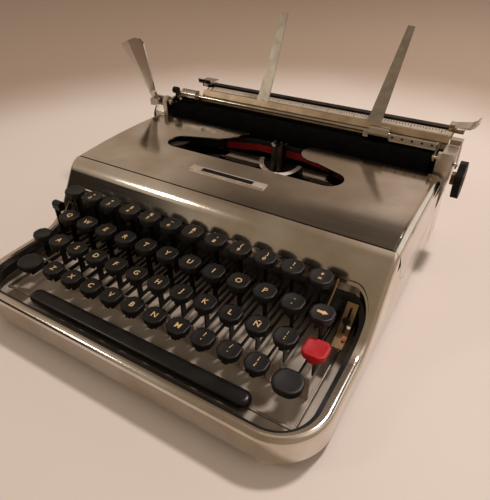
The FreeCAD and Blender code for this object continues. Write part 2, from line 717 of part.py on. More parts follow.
def type_basket():
    wall = sector(RING_IN, RING_OUT, RING_LOW, RING_TOP, RING_SPAN)
    flange = sector(RING_OUT - 0.5, FLANGE_OUT, RING_LOW, FLANGE_TOP, RING_SPAN)
    plate = sector(0.01, RING_IN + 0.2, RING_TOP - 5.5, RING_TOP - 2.5, RING_SPAN)
    slots = []
    for k in range(BAR_COUNT):
        slot = box(-SLOT_W / 2, SLOT_W / 2, -FLANGE_OUT - 2, -SLOT_FROM, RING_LOW - 1, FLANGE_TOP + 1)
        slot.rotate(Vector(0, 0, 0), Vector(0, 0, 1), BAR_STEP * (k - (BAR_COUNT - 1) / 2))
        slots.append(slot)
    middle = box(-SLOT_W / 2, SLOT_W / 2, -RING_OUT - 2, -8, RING_LOW - 1, RING_TOP + 1)
    body = fused([wall, flange, plate]).cut(Part.Compound(slots + [middle]))
    body = in_basket(body)
    cross = box(-119, 119, 93.0, 97.0, 31.0, 35.0)
    posts = [box(x - 3, x + 3, 91.0, 97.0, 31.0, 50.0) for x in (-12, 12)]
    room = rod_x(-60, 60, PLATEN_Y, PLATEN_Z, PLATEN_R + 1.5)
    body = fused([body, cross] + posts).cut(room)
    wire = Part.makeTorus(PIVOT_R, WIRE_R, Vector(0, 0, 0), Vector(0, 0, 1), 0, 360, RING_SPAN - 4)
    wire.rotate(Vector(0, 0, 0), Vector(0, 0, 1), -90 - (RING_SPAN - 4) / 2)
    body = body.fuse(in_basket(wire))
    guide = box(-GUIDE_W / 2, GUIDE_W / 2, GUIDE_Y, GUIDE_Y + GUIDE_T, 47.5, GUIDE_TOP)
    gate = box(-GUIDE_SLOT / 2, GUIDE_SLOT / 2, GUIDE_Y - 1, GUIDE_Y + 3, 56.0, GUIDE_TOP + 1)
    guide = guide.cut(gate)
    node("segment", body.fuse(guide))
    bars = [type_bar(BAR_STEP * (k - (BAR_COUNT - 1) / 2)) for k in range(BAR_COUNT)
            if k != (BAR_COUNT - 1) // 2]
    node("typebars", *bars)
    node("typebar_y", type_bar(0))


def ribbon_vibrator():
    y0 = GUIDE_Y + GUIDE_T + 0.3
    y1 = y0 + FORK_T
    pieces = [box(-FORK_HALF, FORK_HALF, y0, y1, YOKE_Z[0], YOKE_Z[1])]
    for x in (-FORK_HALF, FORK_HALF - PRONG_W):
        pieces.append(box(x, x + PRONG_W, y0, y1, YOKE_Z[0], PRONG_TOP))
        pieces.append(box(x, x + PRONG_W, y0, RIBBON_Y + RIBBON_T + 0.5, PRONG_TOP - 1, PRONG_TOP))
    node("ribbon_vibrator", fused(pieces))


def ink_ribbon():
    half = [(0, RIBBON_Y), (23, RIBBON_Y), (53, 82.2), (88, 68.6)]
    front = [(-x, y) for x, y in reversed(half[1:])] + half
    path = front + [(x, y + RIBBON_T) for x, y in reversed(front)]
    node("ink_ribbon", plate_xy(path, *RIBBON_Z))


def spools():
    z0, z1 = SPOOL_Z
    for name, side in (("spool_left", -1), ("spool_right", 1)):
        x = side * SPOOL_X
        discs = [Part.makeCylinder(SPOOL_R, FLANGE_T, Vector(x, SPOOL_Y, z)) for z in (z0, z1 - FLANGE_T)]
        pack = Part.makeCylinder(PACK_R, z1 - z0 - 0.5, Vector(x, SPOOL_Y, z0 + 0.25))
        hub = Part.makeCylinder(2.6, z1 - z0 + 1, Vector(x, SPOOL_Y, z0 - 0.5))
        node(name, cut(fused(discs + [pack]), [hub]))


# Carriage
def carriage_frame():
    side = plate_yz([(94, 93), (112, 93), (117, 88), (131, 84), (131, 60), (116, 60), (112, 56),
                     (105.5, 47.6), (102.5, 47.6), (98, 58), (94, 70)], 130, 150)
    taper = plate_xz([(134.5, 95), (143.5, 95), (142.3, 70), (141.2, 56), (140.2, 47.6), (139.0, 47.6),
                      (137.4, 56), (EAR_OUT, 70)], 90, 135)
    right = side.common(taper)
    low = plate_yz([(94, 76), (98, 81), (112, 81), (131, 81), (131, 60), (116, 60), (112, 56),
                    (98, 56), (94, 64)], -147, -EAR_OUT)
    pieces = [right, low]
    ear = [(94, 70), (94, 88), (97, 91), (101, 91), (104, 88), (104, 62), (98, 62)]
    pieces += [plate_yz(ear, EAR_IN, 136), plate_yz(ear, -136, -EAR_IN)]
    pieces.append(box(-138, 138, BEAM_Y[0], BEAM_Y[1], BEAM_Z[0], BEAM_Z[1]))
    for x0 in (-114, 112):
        pieces.append(plate_yz([(BEAM_Y[1], 70), (BEAM_Y[1], BEAM_Z[1]), (143.5, RACK_Z[0]),
                                (RACK_Y[1], RACK_Z[0]), (RACK_Y[1], 88)], x0, x0 + 2))
    top = BED_TOP + NECK_H
    shoe = box(-SHOE_HALF, SHOE_HALF, RAIL_Y - 6, RAIL_Y + 6, BED_TOP + 0.8, 52)
    c = RAIL_CLEAR
    slot = box(-50, 50, RAIL_Y - NECK_W / 2 - c, RAIL_Y + NECK_W / 2 + c, BED_TOP, top + 1)
    tee = box(-50, 50, RAIL_Y - HEAD_W / 2 - c, RAIL_Y + HEAD_W / 2 + c, top - c, top + HEAD_H + c)
    pieces.append(cut(shoe, [slot, tee]))
    pieces.append(box(-SHOE_HALF, SHOE_HALF, BEAM_Y[0], BEAM_Y[1], 51, BEAM_Z[0] + 1))
    for x0, x1 in ((-EAR_OUT, -127.4), (127.4, EAR_OUT)):
        pieces.append(rod_x(x0, x1, BAIL_PIN_Y, BAIL_PIN_Z, PIN_R))
    pieces.append(rod_x(-EAR_OUT - 1, -EAR_IN, 116, 74, PIN_R))
    pieces.append(rod_x(140, 145.6, 116, 76, PIN_R))
    pieces.append(box(-156, -145, 98, 110, 79.0, 80.0))
    for y in (98.0, 107.6):
        pieces.append(box(-156, -147, y, y + 2.4, 79.5, BLADE_PIN_Z + 3))
    pieces.append(Part.makeCylinder(PIN_R, 12, Vector(BLADE_PIN_X, 98, BLADE_PIN_Z), Vector(0, 1, 0)))
    bore = rod_x(-160, 160, PLATEN_Y, PLATEN_Z, SHAFT_R + SHAFT_CLEAR)
    node("carriage_frame", fused(pieces).cut(bore))


# Round knob with flutes for the fingers, cut from a chamfered disc.
def fluted_knob(x0, x1, r):
    disc = rod_x(x0, x1, PLATEN_Y, PLATEN_Z, r)
    disc = disc.makeChamfer(0.7, [e for e in disc.Edges if e.Curve.TypeId == "Part::GeomCircle"])
    reach = r - FLUTE_DEPTH + FLUTE_R
    tools = []
    for k in range(KNOB_FLUTES):
        a = 2 * math.pi * k / KNOB_FLUTES
        y, z = PLATEN_Y + reach * math.cos(a), PLATEN_Z + reach * math.sin(a)
        tools.append(rod_x(x0 - 1, x1 + 1, y, z, FLUTE_R))
    return disc.cut(Part.Compound(tools))


def platen():
    sleeve = rod_x(-PLATEN_HALF, PLATEN_HALF, PLATEN_Y, PLATEN_Z, PLATEN_R)
    node("platen", sleeve.cut(rod_x(-PLATEN_HALF, PLATEN_HALF, PLATEN_Y, PLATEN_Z, SHAFT_R)))
    shaft = rod_x(LEFT_KNOB_X[0] + 1, KNOB_X + KNOB_T - 1, PLATEN_Y, PLATEN_Z, SHAFT_R)
    right = fluted_knob(KNOB_X, KNOB_X + KNOB_T, KNOB_R)
    left = fluted_knob(LEFT_KNOB_X[0], LEFT_KNOB_X[1], LEFT_KNOB_R)
    hub = rod_x(HUB_X, KNOB_X, PLATEN_Y, PLATEN_Z, HUB_R)
    teeth = []
    for k in range(2 * RATCHET_TEETH):
        r = RATCHET_R - 1.2 * (k % 2)
        a = math.pi * k / RATCHET_TEETH
        teeth.append((PLATEN_Y + r * math.cos(a), PLATEN_Z + r * math.sin(a)))
    ratchet = plate_yz(teeth, -PLATEN_HALF - 2.2, -PLATEN_HALF - 0.3)
    node("platen_knobs", shaft, *[piece.cut(shaft) for piece in (right, left, hub, ratchet)])


def paper_table():
    t = TABLE_T
    sheet = plate_yz([(122, 85.3), (134, 90.7), (142.3, 92.5), (142.3, 92.5 - t), (134.4, 90.7 - t),
                      (130.6, 87.9), (130.6, 84), (127.4, 84), (127.4, 86.4), (122.4, 85.3 - t)], *TABLE_X)
    pieces = [sheet]
    for x in SUPPORT_X:
        foot = plate_xz([(x - 4.5, -10.5), (x + 4.5, -10.5), (x + 4.5, 2), (x + 2, 4), (x - 2, 4),
                         (x - 4.5, 2)], 0.2, 1.4)
        pin = Part.makeCylinder(PIN_R, 3.4, Vector(x, 1.4, 0), Vector(0, -1, 0))
        pieces.append(leaned(foot.fuse(pin)))
    node("paper_table", fused(pieces))
    node("margin_rack", box(-121, 141, RACK_Y[0], RACK_Y[1], RACK_Z[0], RACK_Z[1]))


def leaned(shape):
    shape.rotate(Vector(0, 0, 0), Vector(1, 0, 0), -SUPPORT_LEAN)
    shape.translate(Vector(0, SUPPORT_Y, SUPPORT_Z))
    return shape


def paper_supports():
    for name, x, swing in zip(("paper_support_left", "paper_support_right"), SUPPORT_X, SUPPORT_SWING):
        blade = plate_xz([(x - 6, -3), (x - 3, -6), (x + 3, -6), (x + 6, -3), (x + 5.6, 14),
                          (x + 3, SUPPORT_L), (x - 3, SUPPORT_L), (x - 5.6, 14)], -SUPPORT_T, 0)
        hole = Part.makeCylinder(PIN_R + PIN_CLEAR, 4, Vector(x, 1, 0), Vector(0, -1, 0))
        blade = blade.cut(hole)
        blade.rotate(Vector(x, 0, 0), Vector(0, 1, 0), swing)
        node(name, leaned(blade))


def margin_stops():
    for name, x0, x1, tab in (("margin_stop_left", -119, -107, 0), ("margin_stop_right", 129, 141, 1)):
        y0, y1 = RACK_Y[0] - 1.2, RACK_Y[1] + 1.2
        block = box(x0, x1, y0, y1, RACK_Z[0] + 1.0, RACK_Z[1] + 3.4)
        block = block.cut(box(x0 - 1, x1 + 1, RACK_Y[0] - 0.3, RACK_Y[1] + 0.3, RACK_Z[0], RACK_Z[1] + 0.3))
        if tab:
            plate = plate_xz([(134, 96.6), (146, 98.6), (149, 100.4), (151.5, 104.6), (150.4, 105.2),
                              (148, 101.6), (145.4, 100), (134, 98)], 134.6, y1 - 1.5)
        else:
            plate = plate_xz([(x0, 97.0), (x1 + 3, 97.0), (x1 + 3, 98.2), (x0, 98.2)], 134.6, y1 - 1.5)
            lip = plate_yz([(134.6, 97.0), (135.6, 97.0), (134.2, 101.4), (133.2, 101.0)], x0, x1 + 3)
            plate = plate.fuse(lip)
        node(name, fused([block, plate]))


def paper_bail():
    r = BAIL_R
    rod = rod_x(-128.6, 128.6, BAIL_Y, BAIL_Z, r)
    dy, dz = BAIL_Y - BAIL_PIN_Y, BAIL_Z - BAIL_PIN_Z
    span = math.hypot(dy, dz)
    ny, nz = -dz / span * 2.6, dy / span * 2.6
    uy, uz = dy / span * 2.8, dz / span * 2.8
    outline = [(BAIL_PIN_Y - uy - ny * 0.5, BAIL_PIN_Z - uz - nz * 0.5),
               (BAIL_PIN_Y - ny, BAIL_PIN_Z - nz), (BAIL_Y - ny, BAIL_Z - nz),
               (BAIL_Y + uy, BAIL_Z + uz), (BAIL_Y + ny, BAIL_Z + nz),
               (BAIL_PIN_Y + ny, BAIL_PIN_Z + nz), (BAIL_PIN_Y - uy + ny * 0.5, BAIL_PIN_Z - uz + nz * 0.5)]
    pieces = [rod]
    for x0 in (-129.4, 128.0):
        arm = plate_yz(outline, x0, x0 + 1.4)
        pieces.append(arm.cut(rod_x(x0 - 1, x0 + 3, BAIL_PIN_Y, BAIL_PIN_Z, PIN_R + PIN_CLEAR)))
    scale = plate_yz([(112.8, 85.6), (113.8, 85.2), (115.4, 88.6), (115.8, 91.4), (114.9, 91.6),
                      (114.2, 89.2)], 66, 126.5)
    scale = scale.cut(box(70.4, 88.6, 100, 130, 80, 100))
    pieces.append(scale)
    rollers = []
    for x in ROLLER_X:
        roller = rod_x(x - ROLLER_L / 2, x + ROLLER_L / 2, BAIL_Y, BAIL_Z, ROLLER_R)
        rollers.append(roller.cut(rod_x(x - 20, x + 20, BAIL_Y, BAIL_Z, r + PIN_CLEAR)))
    node("paper_bail", fused(pieces), *rollers)


def carriage_levers():
    plate = plate_yz([(114, 72.5), (117, 71.5), (118.2, 75), (114.6, 91), (111.8, 91), (113.4, 76)],
                     -133.3, -132.0)
    head = rod_x(-135.2, -130.0, 112.8, 93.4, 3.2)
    lever_body = plate.fuse(head).cut(rod_x(-135, -130, 116, 74, PIN_R + PIN_CLEAR))
    node("paper_release_lever", lever_body)
    plate = plate_yz([(113.6, 73.5), (118.4, 73.5), (118.4, 78), (114.8, 97.5), (111.2, 97.5)],
                     143.9, 145.2)
    button = box(136.2, 145.2, 109.6, 116, 94.2, 98.4)
    release = plate.fuse(button).cut(rod_x(143, 147, 116, 76, PIN_R + PIN_CLEAR))
    node("carriage_release_lever", release)


# Line-space lever: a knuckle on a pin, a short neck and a tall blade with a ridge.
def line_space_lever():
    y = BLADE_Y
    barrel = Part.makeCylinder(2.5, 6.6, Vector(BLADE_PIN_X, 100.7, BLADE_PIN_Z), Vector(0, 1, 0))
    neck = plate_xz([(-154.2, 82.6), (-150.6, 83.6), (-153.6, 92.5), (-160.6, 91.0)], y - 2, y + 1.6)
    low_left, low_mid, low_right = (-160.6, y - 0.6, 90.4), (-157.6, y - 2.6, 91.0), (-153.4, y - 0.6, 91.6)
    ridge, left_tip = (-178.0, y - 3.0, 138.6), (BLADE_TIP_X, y - 0.4, 133.6)
    peak, shoulder, right_tip = (-170.0, y - 1.8, 141.6), (-164.6, y - 1.0, 141.0), (-160.6, y - 0.4, 136.6)
    facets = [(low_left, low_mid, ridge), (low_left, ridge, left_tip), (low_mid, low_right, right_tip),
              (low_mid, right_tip, shoulder), (low_mid, shoulder, peak), (low_mid, peak, ridge)]
    blades = [face_of(f).extrude(Vector(0, 1.6, 0)) for f in facets]
    bore = Part.makeCylinder(PIN_R + PIN_CLEAR, 12, Vector(BLADE_PIN_X, 98, BLADE_PIN_Z), Vector(0, 1, 0))
    node("line_space_lever", fused([barrel, neck] + blades).cut(bore))


for make in (base_pan, rubber_feet, side_frames, front_comb, carriage_rail, main_casing, rear_casing,
             opening_gasket, selector_plate, ribbon_cover, type_basket, ribbon_vibrator, ink_ribbon, spools,
             carriage_frame, platen, paper_table, paper_supports, margin_stops, paper_bail, carriage_levers,
             line_space_lever, type_keys, service_keys, space_bar):
    make()

support_tip = SUPPORT_Y + SUPPORT_L * math.sin(math.radians(SUPPORT_LEAN))
centre = Vector((BLADE_TIP_X + KNOB_X + KNOB_T) / 2, (FRONT + support_tip) / 2, 0)
os.makedirs("parts", exist_ok=True)
total = FreeCAD.BoundBox()
for name, solids in parts.items():
    whole = solids[0] if len(solids) == 1 else Part.Compound(list(solids))
    whole.translate(-centre)
    total.add(whole.BoundBox)
    whole.exportStep("parts/" + name + ".step")
print(len(parts), "nodes", "shift", -centre.x, -centre.y)
print("outline", total)
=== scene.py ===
import bmesh
import bpy
import math
from mathutils import Matrix, Vector


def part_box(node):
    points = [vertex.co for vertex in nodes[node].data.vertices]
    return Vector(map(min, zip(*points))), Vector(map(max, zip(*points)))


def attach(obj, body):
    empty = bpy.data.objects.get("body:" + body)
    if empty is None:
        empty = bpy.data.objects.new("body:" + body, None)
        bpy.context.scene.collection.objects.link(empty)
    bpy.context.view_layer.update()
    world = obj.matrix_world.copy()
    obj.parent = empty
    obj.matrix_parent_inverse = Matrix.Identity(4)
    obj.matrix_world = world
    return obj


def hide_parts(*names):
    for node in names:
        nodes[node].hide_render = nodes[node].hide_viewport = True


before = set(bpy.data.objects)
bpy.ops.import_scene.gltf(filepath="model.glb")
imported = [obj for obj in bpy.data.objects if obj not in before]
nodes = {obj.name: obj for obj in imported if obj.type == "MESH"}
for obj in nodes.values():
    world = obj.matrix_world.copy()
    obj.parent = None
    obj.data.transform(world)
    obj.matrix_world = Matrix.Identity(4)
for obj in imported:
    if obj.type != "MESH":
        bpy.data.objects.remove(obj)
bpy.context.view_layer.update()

# Drawing lines: every size below is in millimetres about the middle of the casing, with Y
# counted to the back and Z up from the table, as the casing itself is drawn.
casing_low, casing_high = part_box("main_casing")
MIDDLE_X = (casing_low.x + casing_high.x) / 2
CASING_FRONT = -146.0


def at(x, y, z):
    return Vector((MIDDLE_X + x / 1000, casing_low.y + (y - CASING_FRONT) / 1000, z / 1000))


# Camera: held by hand at the front right, looking down on the keys, with the short lens of a
# telephone. Its place was fitted to the 280 mm casing and to the pitch of the keys.
EYE = (176.457, -262.208, 250.745)
camera_data = bpy.data.cameras.new("camera")
camera_data.sensor_fit = "HORIZONTAL"
camera_data.sensor_width = 36.0
camera_data.lens = 34.439
camera_data.clip_start = 0.01
camera = bpy.data.objects.new("camera", camera_data)
bpy.context.scene.collection.objects.link(camera)
looking = Vector((-0.41718, 0.67984, -0.60314)).normalized()
across = Vector((0.85788, 0.51365, -0.01442))
across = (across - looking * across.dot(looking)).normalized()
turned = Matrix((across, across.cross(looking), -looking)).transposed()
camera.matrix_world = Matrix.Translation(at(*EYE)) @ turned.to_4x4()
bpy.context.scene.camera = camera
bpy.context.scene.view_settings.view_transform = "Standard"


# Table: a wide matt sheet in warm white paint. Away from the machine its colour is painted darker
# to taupe: painted shade for the light falling off past the lamps, as on a paper sweep, and for the
# room beyond. The eye sees a pale ground with a soft shadow on it.
def hex_rgb(code):
    levels = [int(code[i:i + 2], 16) / 255 for i in (1, 3, 5)]
    return tuple(v / 12.92 if v <= 0.04045 else ((v + 0.055) / 1.055) ** 2.4 for v in levels) + (1.0,)


def add_node(tree, kind, inputs=None, stops=(), **settings):
    made = tree.nodes.new("ShaderNode" + kind)
    for key, value in settings.items():
        setattr(made, key, value)
    for key, value in (inputs or {}).items():
        if isinstance(value, bpy.types.NodeSocket):
            tree.links.new(value, made.inputs[key])
        else:
            made.inputs[key].default_value = value
    if stops:
        elements = made.color_ramp.elements
        elements.remove(elements[1])
        elements[0].position, elements[0].color = stops[0][0], hex_rgb(stops[0][1])
        for place, code in stops[1:]:
            elements.new(place).color = hex_rgb(code)
    return made


def new_material(name):
    made = bpy.data.materials.new(name)
    made.use_nodes = True
    made.node_tree.nodes.clear()
    return made, made.node_tree


# Points in millimetres on the drawing lines become one mesh with its faces turned outward.
def mesh_object(name, points, faces, material, smooth=True, bevel=0.0):
    mesh = bpy.data.meshes.new(name)
    mesh.from_pydata([at(*p) for p in points], [], faces)
    mesh.materials.append(material)
    work = bmesh.new()
    work.from_mesh(mesh)
    bmesh.ops.recalc_face_normals(work, faces=work.faces)
    for face in work.faces:
        face.smooth = smooth
    work.to_mesh(mesh)
    work.free()
    made = bpy.data.objects.new(name, mesh)
    bpy.context.scene.collection.objects.link(made)
    if bevel:
        edge = made.modifiers.new("edge", "BEVEL")
        edge.width = bevel / 1000
        edge.segments = 2
        edge.limit_method = "ANGLE"
        edge.angle_limit = math.radians(35)
        edge.harden_normals = True
    return made


TABLE_HALF = 2400.0
PAINTED_SHADE_FROM = 360.0
PAINTED_SHADE_FULL = 620.0
table_paint, tree = new_material("matt warm white paint with painted falloff")
place = add_node(tree, "TexCoord")
flat = add_node(tree, "VectorMath", {0: place.outputs["Object"]}, operation="LENGTH")
mottle = add_node(tree, "TexNoise", {"Vector": place.outputs["Object"], "Scale": 7.0, "Detail": 3.0})
uneven = add_node(tree, "MapRange", {"Value": mottle.outputs["Fac"], "To Min": -0.03, "To Max": 0.03})
reach = add_node(tree, "Math", {0: flat.outputs["Value"], 1: uneven.outputs["Result"]}, operation="ADD")
painted_falloff = add_node(tree, "MapRange", {"Value": reach.outputs["Value"], "From Min": PAINTED_SHADE_FROM / 1000,
                                   "From Max": PAINTED_SHADE_FULL / 1000}, interpolation_type="SMOOTHSTEP")
# The taupe end of this ramp is painted shade, standing for light falling off away from the lamps.
tint = add_node(tree, "ValToRGB", {"Fac": painted_falloff.outputs["Result"]}, stops=((0.0, "#E6DCD4"), (1.0, "#AE9A88")))
matt = add_node(tree, "BsdfPrincipled", {"Base Color": tint.outputs["Color"], "Roughness": 0.55})
add_node(tree, "OutputMaterial", {"Surface": matt.outputs["BSDF"]})
corners = [(-TABLE_HALF, -TABLE_HALF, 0), (TABLE_HALF, -TABLE_HALF, 0), (TABLE_HALF, TABLE_HALF, 0),
           (-TABLE_HALF, TABLE_HALF, 0)]
mesh_object("table_sheet", corners, [(0, 1, 2, 3)], table_paint)


# Lamps: one fairly small ceiling lamp behind the machine, which throws short clear shadows to the
# front, a weak panel at the left that draws the bright line on the hood, and the room around.
# Their places and sizes are in metres from the middle of the machine.
def panel(name, place, aim, width, depth, watts, tint):
    data = bpy.data.lights.new(name, "AREA")
    data.shape = "RECTANGLE"
    data.size = width
    data.size_y = depth
    data.energy = watts
    data.color = hex_rgb(tint)[:3]
    made = bpy.data.objects.new(name, data)
    made.location = place
    made.rotation_euler = (Vector(aim) - Vector(place)).to_track_quat("-Z", "Y").to_euler()
    bpy.context.scene.collection.objects.link(made)


panel("lamp_ceiling", (0.36, 0.6, 1.3), (0.02, 0.0, 0.0), 0.14, 0.14, 12.0, "#FFF3EE")
panel("lamp_left", (-0.9, -0.82, 1.0), (0.0, 0.0, 0.05), 0.13, 0.2, 1.5, "#FFF6EC")
world = bpy.data.worlds.new("room")
bpy.context.scene.world = world
world.use_nodes = True
world.node_tree.nodes.clear()
tree = world.node_tree
place = add_node(tree, "TexCoord")
split = add_node(tree, "SeparateXYZ", {"Vector": place.outputs["Generated"]})
aside = add_node(tree, "MapRange", {"Value": split.outputs["X"], "From Min": -1.0, "From Max": 1.0})
rear_wall = add_node(tree, "ValToRGB", {"Fac": aside.outputs["Result"]}, stops=(
    (0.1, "#B8A491"), (0.2, "#B39F8C"), (0.26, "#78685A"), (0.36, "#A08C7A"), (0.43, "#CDB9A8"),
    (0.6, "#B09A86"), (0.66, "#FFF6EE"), (0.84, "#FFF6EE"), (0.9, "#B09A86")))
front_wall = add_node(tree, "ValToRGB", {"Fac": aside.outputs["Result"]}, stops=(
    (0.14, "#AC9C8A"), (0.18, "#BCAC9A"), (0.24, "#A89886"), (0.28, "#8E7E6A"), (0.5, "#8C7A66"),
    (0.8, "#A08C76")))
behind = add_node(tree, "MapRange", {"Value": split.outputs["Y"], "From Min": -0.2, "From Max": 0.2})
walls = add_node(tree, "MixRGB", {0: behind.outputs["Result"], 1: front_wall.outputs["Color"],
                                  2: rear_wall.outputs["Color"]})
above = add_node(tree, "MapRange", {"Value": split.outputs["Z"], "From Min": 0.565, "From Max": 0.6},
                 interpolation_type="SMOOTHSTEP")
rear_part = add_node(tree, "MapRange", {"Value": split.outputs["Y"], "From Min": 0.2, "From Max": 0.5})
hidden = add_node(tree, "Math", {0: above.outputs["Result"], 1: rear_part.outputs["Result"]},
                  operation="MULTIPLY")
ceiling = add_node(tree, "ValToRGB", {"Fac": split.outputs["Z"]}, stops=(
    (0.6, "#4E4339"), (0.75, "#564A40"), (0.9, "#8C7864"), (1.0, "#A08C78")))
room = add_node(tree, "MixRGB", {0: hidden.outputs["Value"], 1: walls.outputs["Color"],
                                 2: ceiling.outputs["Color"]})
door_side = add_node(tree, "MapRange", {"Value": split.outputs["X"], "From Min": -0.6, "From Max": -0.52,
                                        "To Min": 1.0, "To Max": 0.0})
door_top = add_node(tree, "MapRange", {"Value": split.outputs["Z"], "From Min": 0.4, "From Max": 0.45,
                                       "To Min": 1.0, "To Max": 0.0})
door_front = add_node(tree, "MapRange", {"Value": split.outputs["Y"], "From Min": -0.4, "From Max": -0.3,
                                         "To Min": 1.0, "To Max": 0.0})
leaf = add_node(tree, "Math", {0: door_side.outputs["Result"], 1: door_top.outputs["Result"]},
                operation="MULTIPLY")
door = add_node(tree, "Math", {0: leaf.outputs["Value"], 1: door_front.outputs["Result"]},
                operation="MULTIPLY")
seen = add_node(tree, "MixRGB", {0: door.outputs["Value"], 1: room.outputs["Color"], 2: hex_rgb("#241F1A")})
back = add_node(tree, "Background", {"Color": seen.outputs["Color"], "Strength": 1.0})
add_node(tree, "OutputWorld", {"Surface": back.outputs["Background"]})


# Base pan: pressed steel in stoved grey-beige enamel, screwed up into the casing. Light falls
# through the keys on to it, so the eye sees soft shadows of the levers on a satin ground.
def enamel(name, colour, shade, rough, peel_mm=1.6):
    made, tree = new_material(name)
    place = add_node(tree, "TexCoord")
    cloud = add_node(tree, "TexNoise", {"Vector": place.outputs["Object"], "Scale": 30.0, "Detail": 4.0})
    peel = add_node(tree, "TexNoise", {"Vector": place.outputs["Object"], "Scale": 1000 / peel_mm,
                                       "Detail": 2.0})
    tint = add_node(tree, "ValToRGB", {"Fac": cloud.outputs["Fac"]}, stops=((0.35, shade), (0.62, colour)))
    level = add_node(tree, "MapRange", {"Value": cloud.outputs["Fac"], "To Min": rough - 0.06,
                                        "To Max": rough + 0.08})
    relief = add_node(tree, "Bump", {"Height": peel.outputs["Fac"], "Strength": 0.12, "Distance": 0.0001})
    skin = add_node(tree, "BsdfPrincipled", {
        "Base Color": tint.outputs["Color"], "Roughness": level.outputs["Result"], "IOR": 1.5,
        "Normal": relief.outputs["Normal"]})
    add_node(tree, "OutputMaterial", {"Surface": skin.outputs["BSDF"]})
    return made


def paint(node_name, *materials):
    mesh = nodes[node_name].data
    for i, material in enumerate(materials):
        mesh.materials[i] = material


pan_enamel = enamel("stoved grey-beige enamel", "#BFB3A4", "#B2A696", 0.42)
paint("base_pan", pan_enamel)


# Feet: pale clear rubber pads under the pan at the four corners, each held by a screw from
# inside. The front right one shows below the apron as a small light shape.
def moulded(name, colour, shade, rough, grain_mm=0.7, bump=0.1, specular=0.5):
    made, tree = new_material(name)
    place = add_node(tree, "TexCoord")
    fine = add_node(tree, "TexNoise", {"Vector": place.outputs["Object"], "Scale": 1000 / grain_mm,
                                       "Detail": 3.0})
    broad = add_node(tree, "TexNoise", {"Vector": place.outputs["Object"], "Scale": 1000 / (grain_mm * 14),
                                        "Detail": 3.0})
    tint = add_node(tree, "ValToRGB", {"Fac": broad.outputs["Fac"]}, stops=((0.38, shade), (0.6, colour)))
    level = add_node(tree, "MapRange", {"Value": broad.outputs["Fac"], "To Min": rough - 0.08,
                                        "To Max": rough + 0.1})
    relief = add_node(tree, "Bump", {"Height": fine.outputs["Fac"], "Strength": bump, "Distance": 0.00008})
    skin = add_node(tree, "BsdfPrincipled", {
        "Base Color": tint.outputs["Color"], "Roughness": level.outputs["Result"], "IOR": 1.5,
        "Specular IOR Level": specular, "Normal": relief.outputs["Normal"]})
    add_node(tree, "OutputMaterial", {"Surface": skin.outputs["BSDF"]})
    return made


foot_rubber = moulded("pale clear foot rubber", "#E0D6CA", "#D2C6B8", 0.5, 0.5, 0.2)
paint("rubber_feet", foot_rubber)


# Chassis: sheet steel side plates, rail and shafts, blackened in hot oil. The finish looks dull
# and brown-black, a little shinier where oil has dried on it.
def plain_metal(name, colour, worn, rough, grain_mm=1.2, bump=0.15):
    made, tree = new_material(name)
    place = add_node(tree, "TexCoord")
    cloud = add_node(tree, "TexNoise", {"Vector": place.outputs["Object"], "Scale": 1000 / (grain_mm * 9),
                                        "Detail": 4.0})
    fine = add_node(tree, "TexNoise", {"Vector": place.outputs["Object"], "Scale": 1000 / grain_mm,
                                       "Detail": 2.0})
    tint = add_node(tree, "ValToRGB", {"Fac": cloud.outputs["Fac"]}, stops=((0.38, worn), (0.6, colour)))
    level = add_node(tree, "MapRange", {"Value": fine.outputs["Fac"], "To Min": rough - 0.1,
                                        "To Max": rough + 0.1})
    relief = add_node(tree, "Bump", {"Height": fine.outputs["Fac"], "Strength": bump, "Distance": 0.0001})
    skin = add_node(tree, "BsdfPrincipled", {
        "Base Color": tint.outputs["Color"], "Metallic": 1.0, "Roughness": level.outputs["Result"],
        "Normal": relief.outputs["Normal"]})
    add_node(tree, "OutputMaterial", {"Surface": skin.outputs["BSDF"]})
    return made


oil_black = plain_metal("oil-blackened steel", "#3A3531", "#221F1C", 0.45)
for name in ("side_frames", "carriage_rail"):
    paint(name, oil_black)


# Key levers: spring steel strips, blanked with a stem that goes up into the cap. They turn on the
# rear shaft and end under their own caps. Blackened, with bright worn edges.
PITCH = 19.05
ROW1_X = -87.6
ROW4_Y = -108.1
ROW4_Z = 36.0
ROW_DY = 17.58
ROW_DZ = 10.69
ROW_SHIFT = (0.0, -0.5, -0.25, 0.25)
CAP_W = 14.8
CAP_D = 14.3
CAP_H = 5.0
LEVER_T = 1.0
LEVER_LOW = 23.4
LEVER_TOP = 26.6
LEVER_NOSE = 1.0
STEM_HALF = 2.5
STEM_TAPER = 0.4
STEM_GRIP = 1.0
LEVER_EDGE = 0.2
BEND_Y = -44.0
PIVOT_Y = 100.0
PIVOT_Z = 14.5
BOSS_R = 4.2
lever_steel = plain_metal("blackened spring steel", "#3E3833", "#211E1B", 0.42, 1.0)


def key_place(row, column):
    up = 3 - row
    return ROW1_X + (column + ROW_SHIFT[row]) * PITCH, ROW4_Y + up * ROW_DY, ROW4_Z + up * ROW_DZ


def prism(outline, along, low, high):
    ways = {"x": lambda a, b, h: (h, a, b), "y": lambda a, b, h: (a, h, b), "z": lambda a, b, h: (a, b, h)}
    put = ways[along]
    n = len(outline)
    points = [put(a, b, h) for h in (low, high) for a, b in outline]
    faces = [tuple(range(n)), tuple(range(n, 2 * n))]
    faces += [(i, (i + 1) % n, n + (i + 1) % n, n + i) for i in range(n)]
    return points, faces


def gathered(shapes):
    points, faces = [], []
    for shape_points, shape_faces in shapes:
        start = len(points)
        points += shape_points
        faces += [tuple(start + i for i in face) for face in shape_faces]
    return points, faces


def boss_arc(first, last, steps=6):
    turns = [math.radians(first + (last - first) * k / steps) for k in range(steps + 1)]
    return [(PIVOT_Y + BOSS_R * math.cos(a), PIVOT_Z + BOSS_R * math.sin(a)) for a in turns]


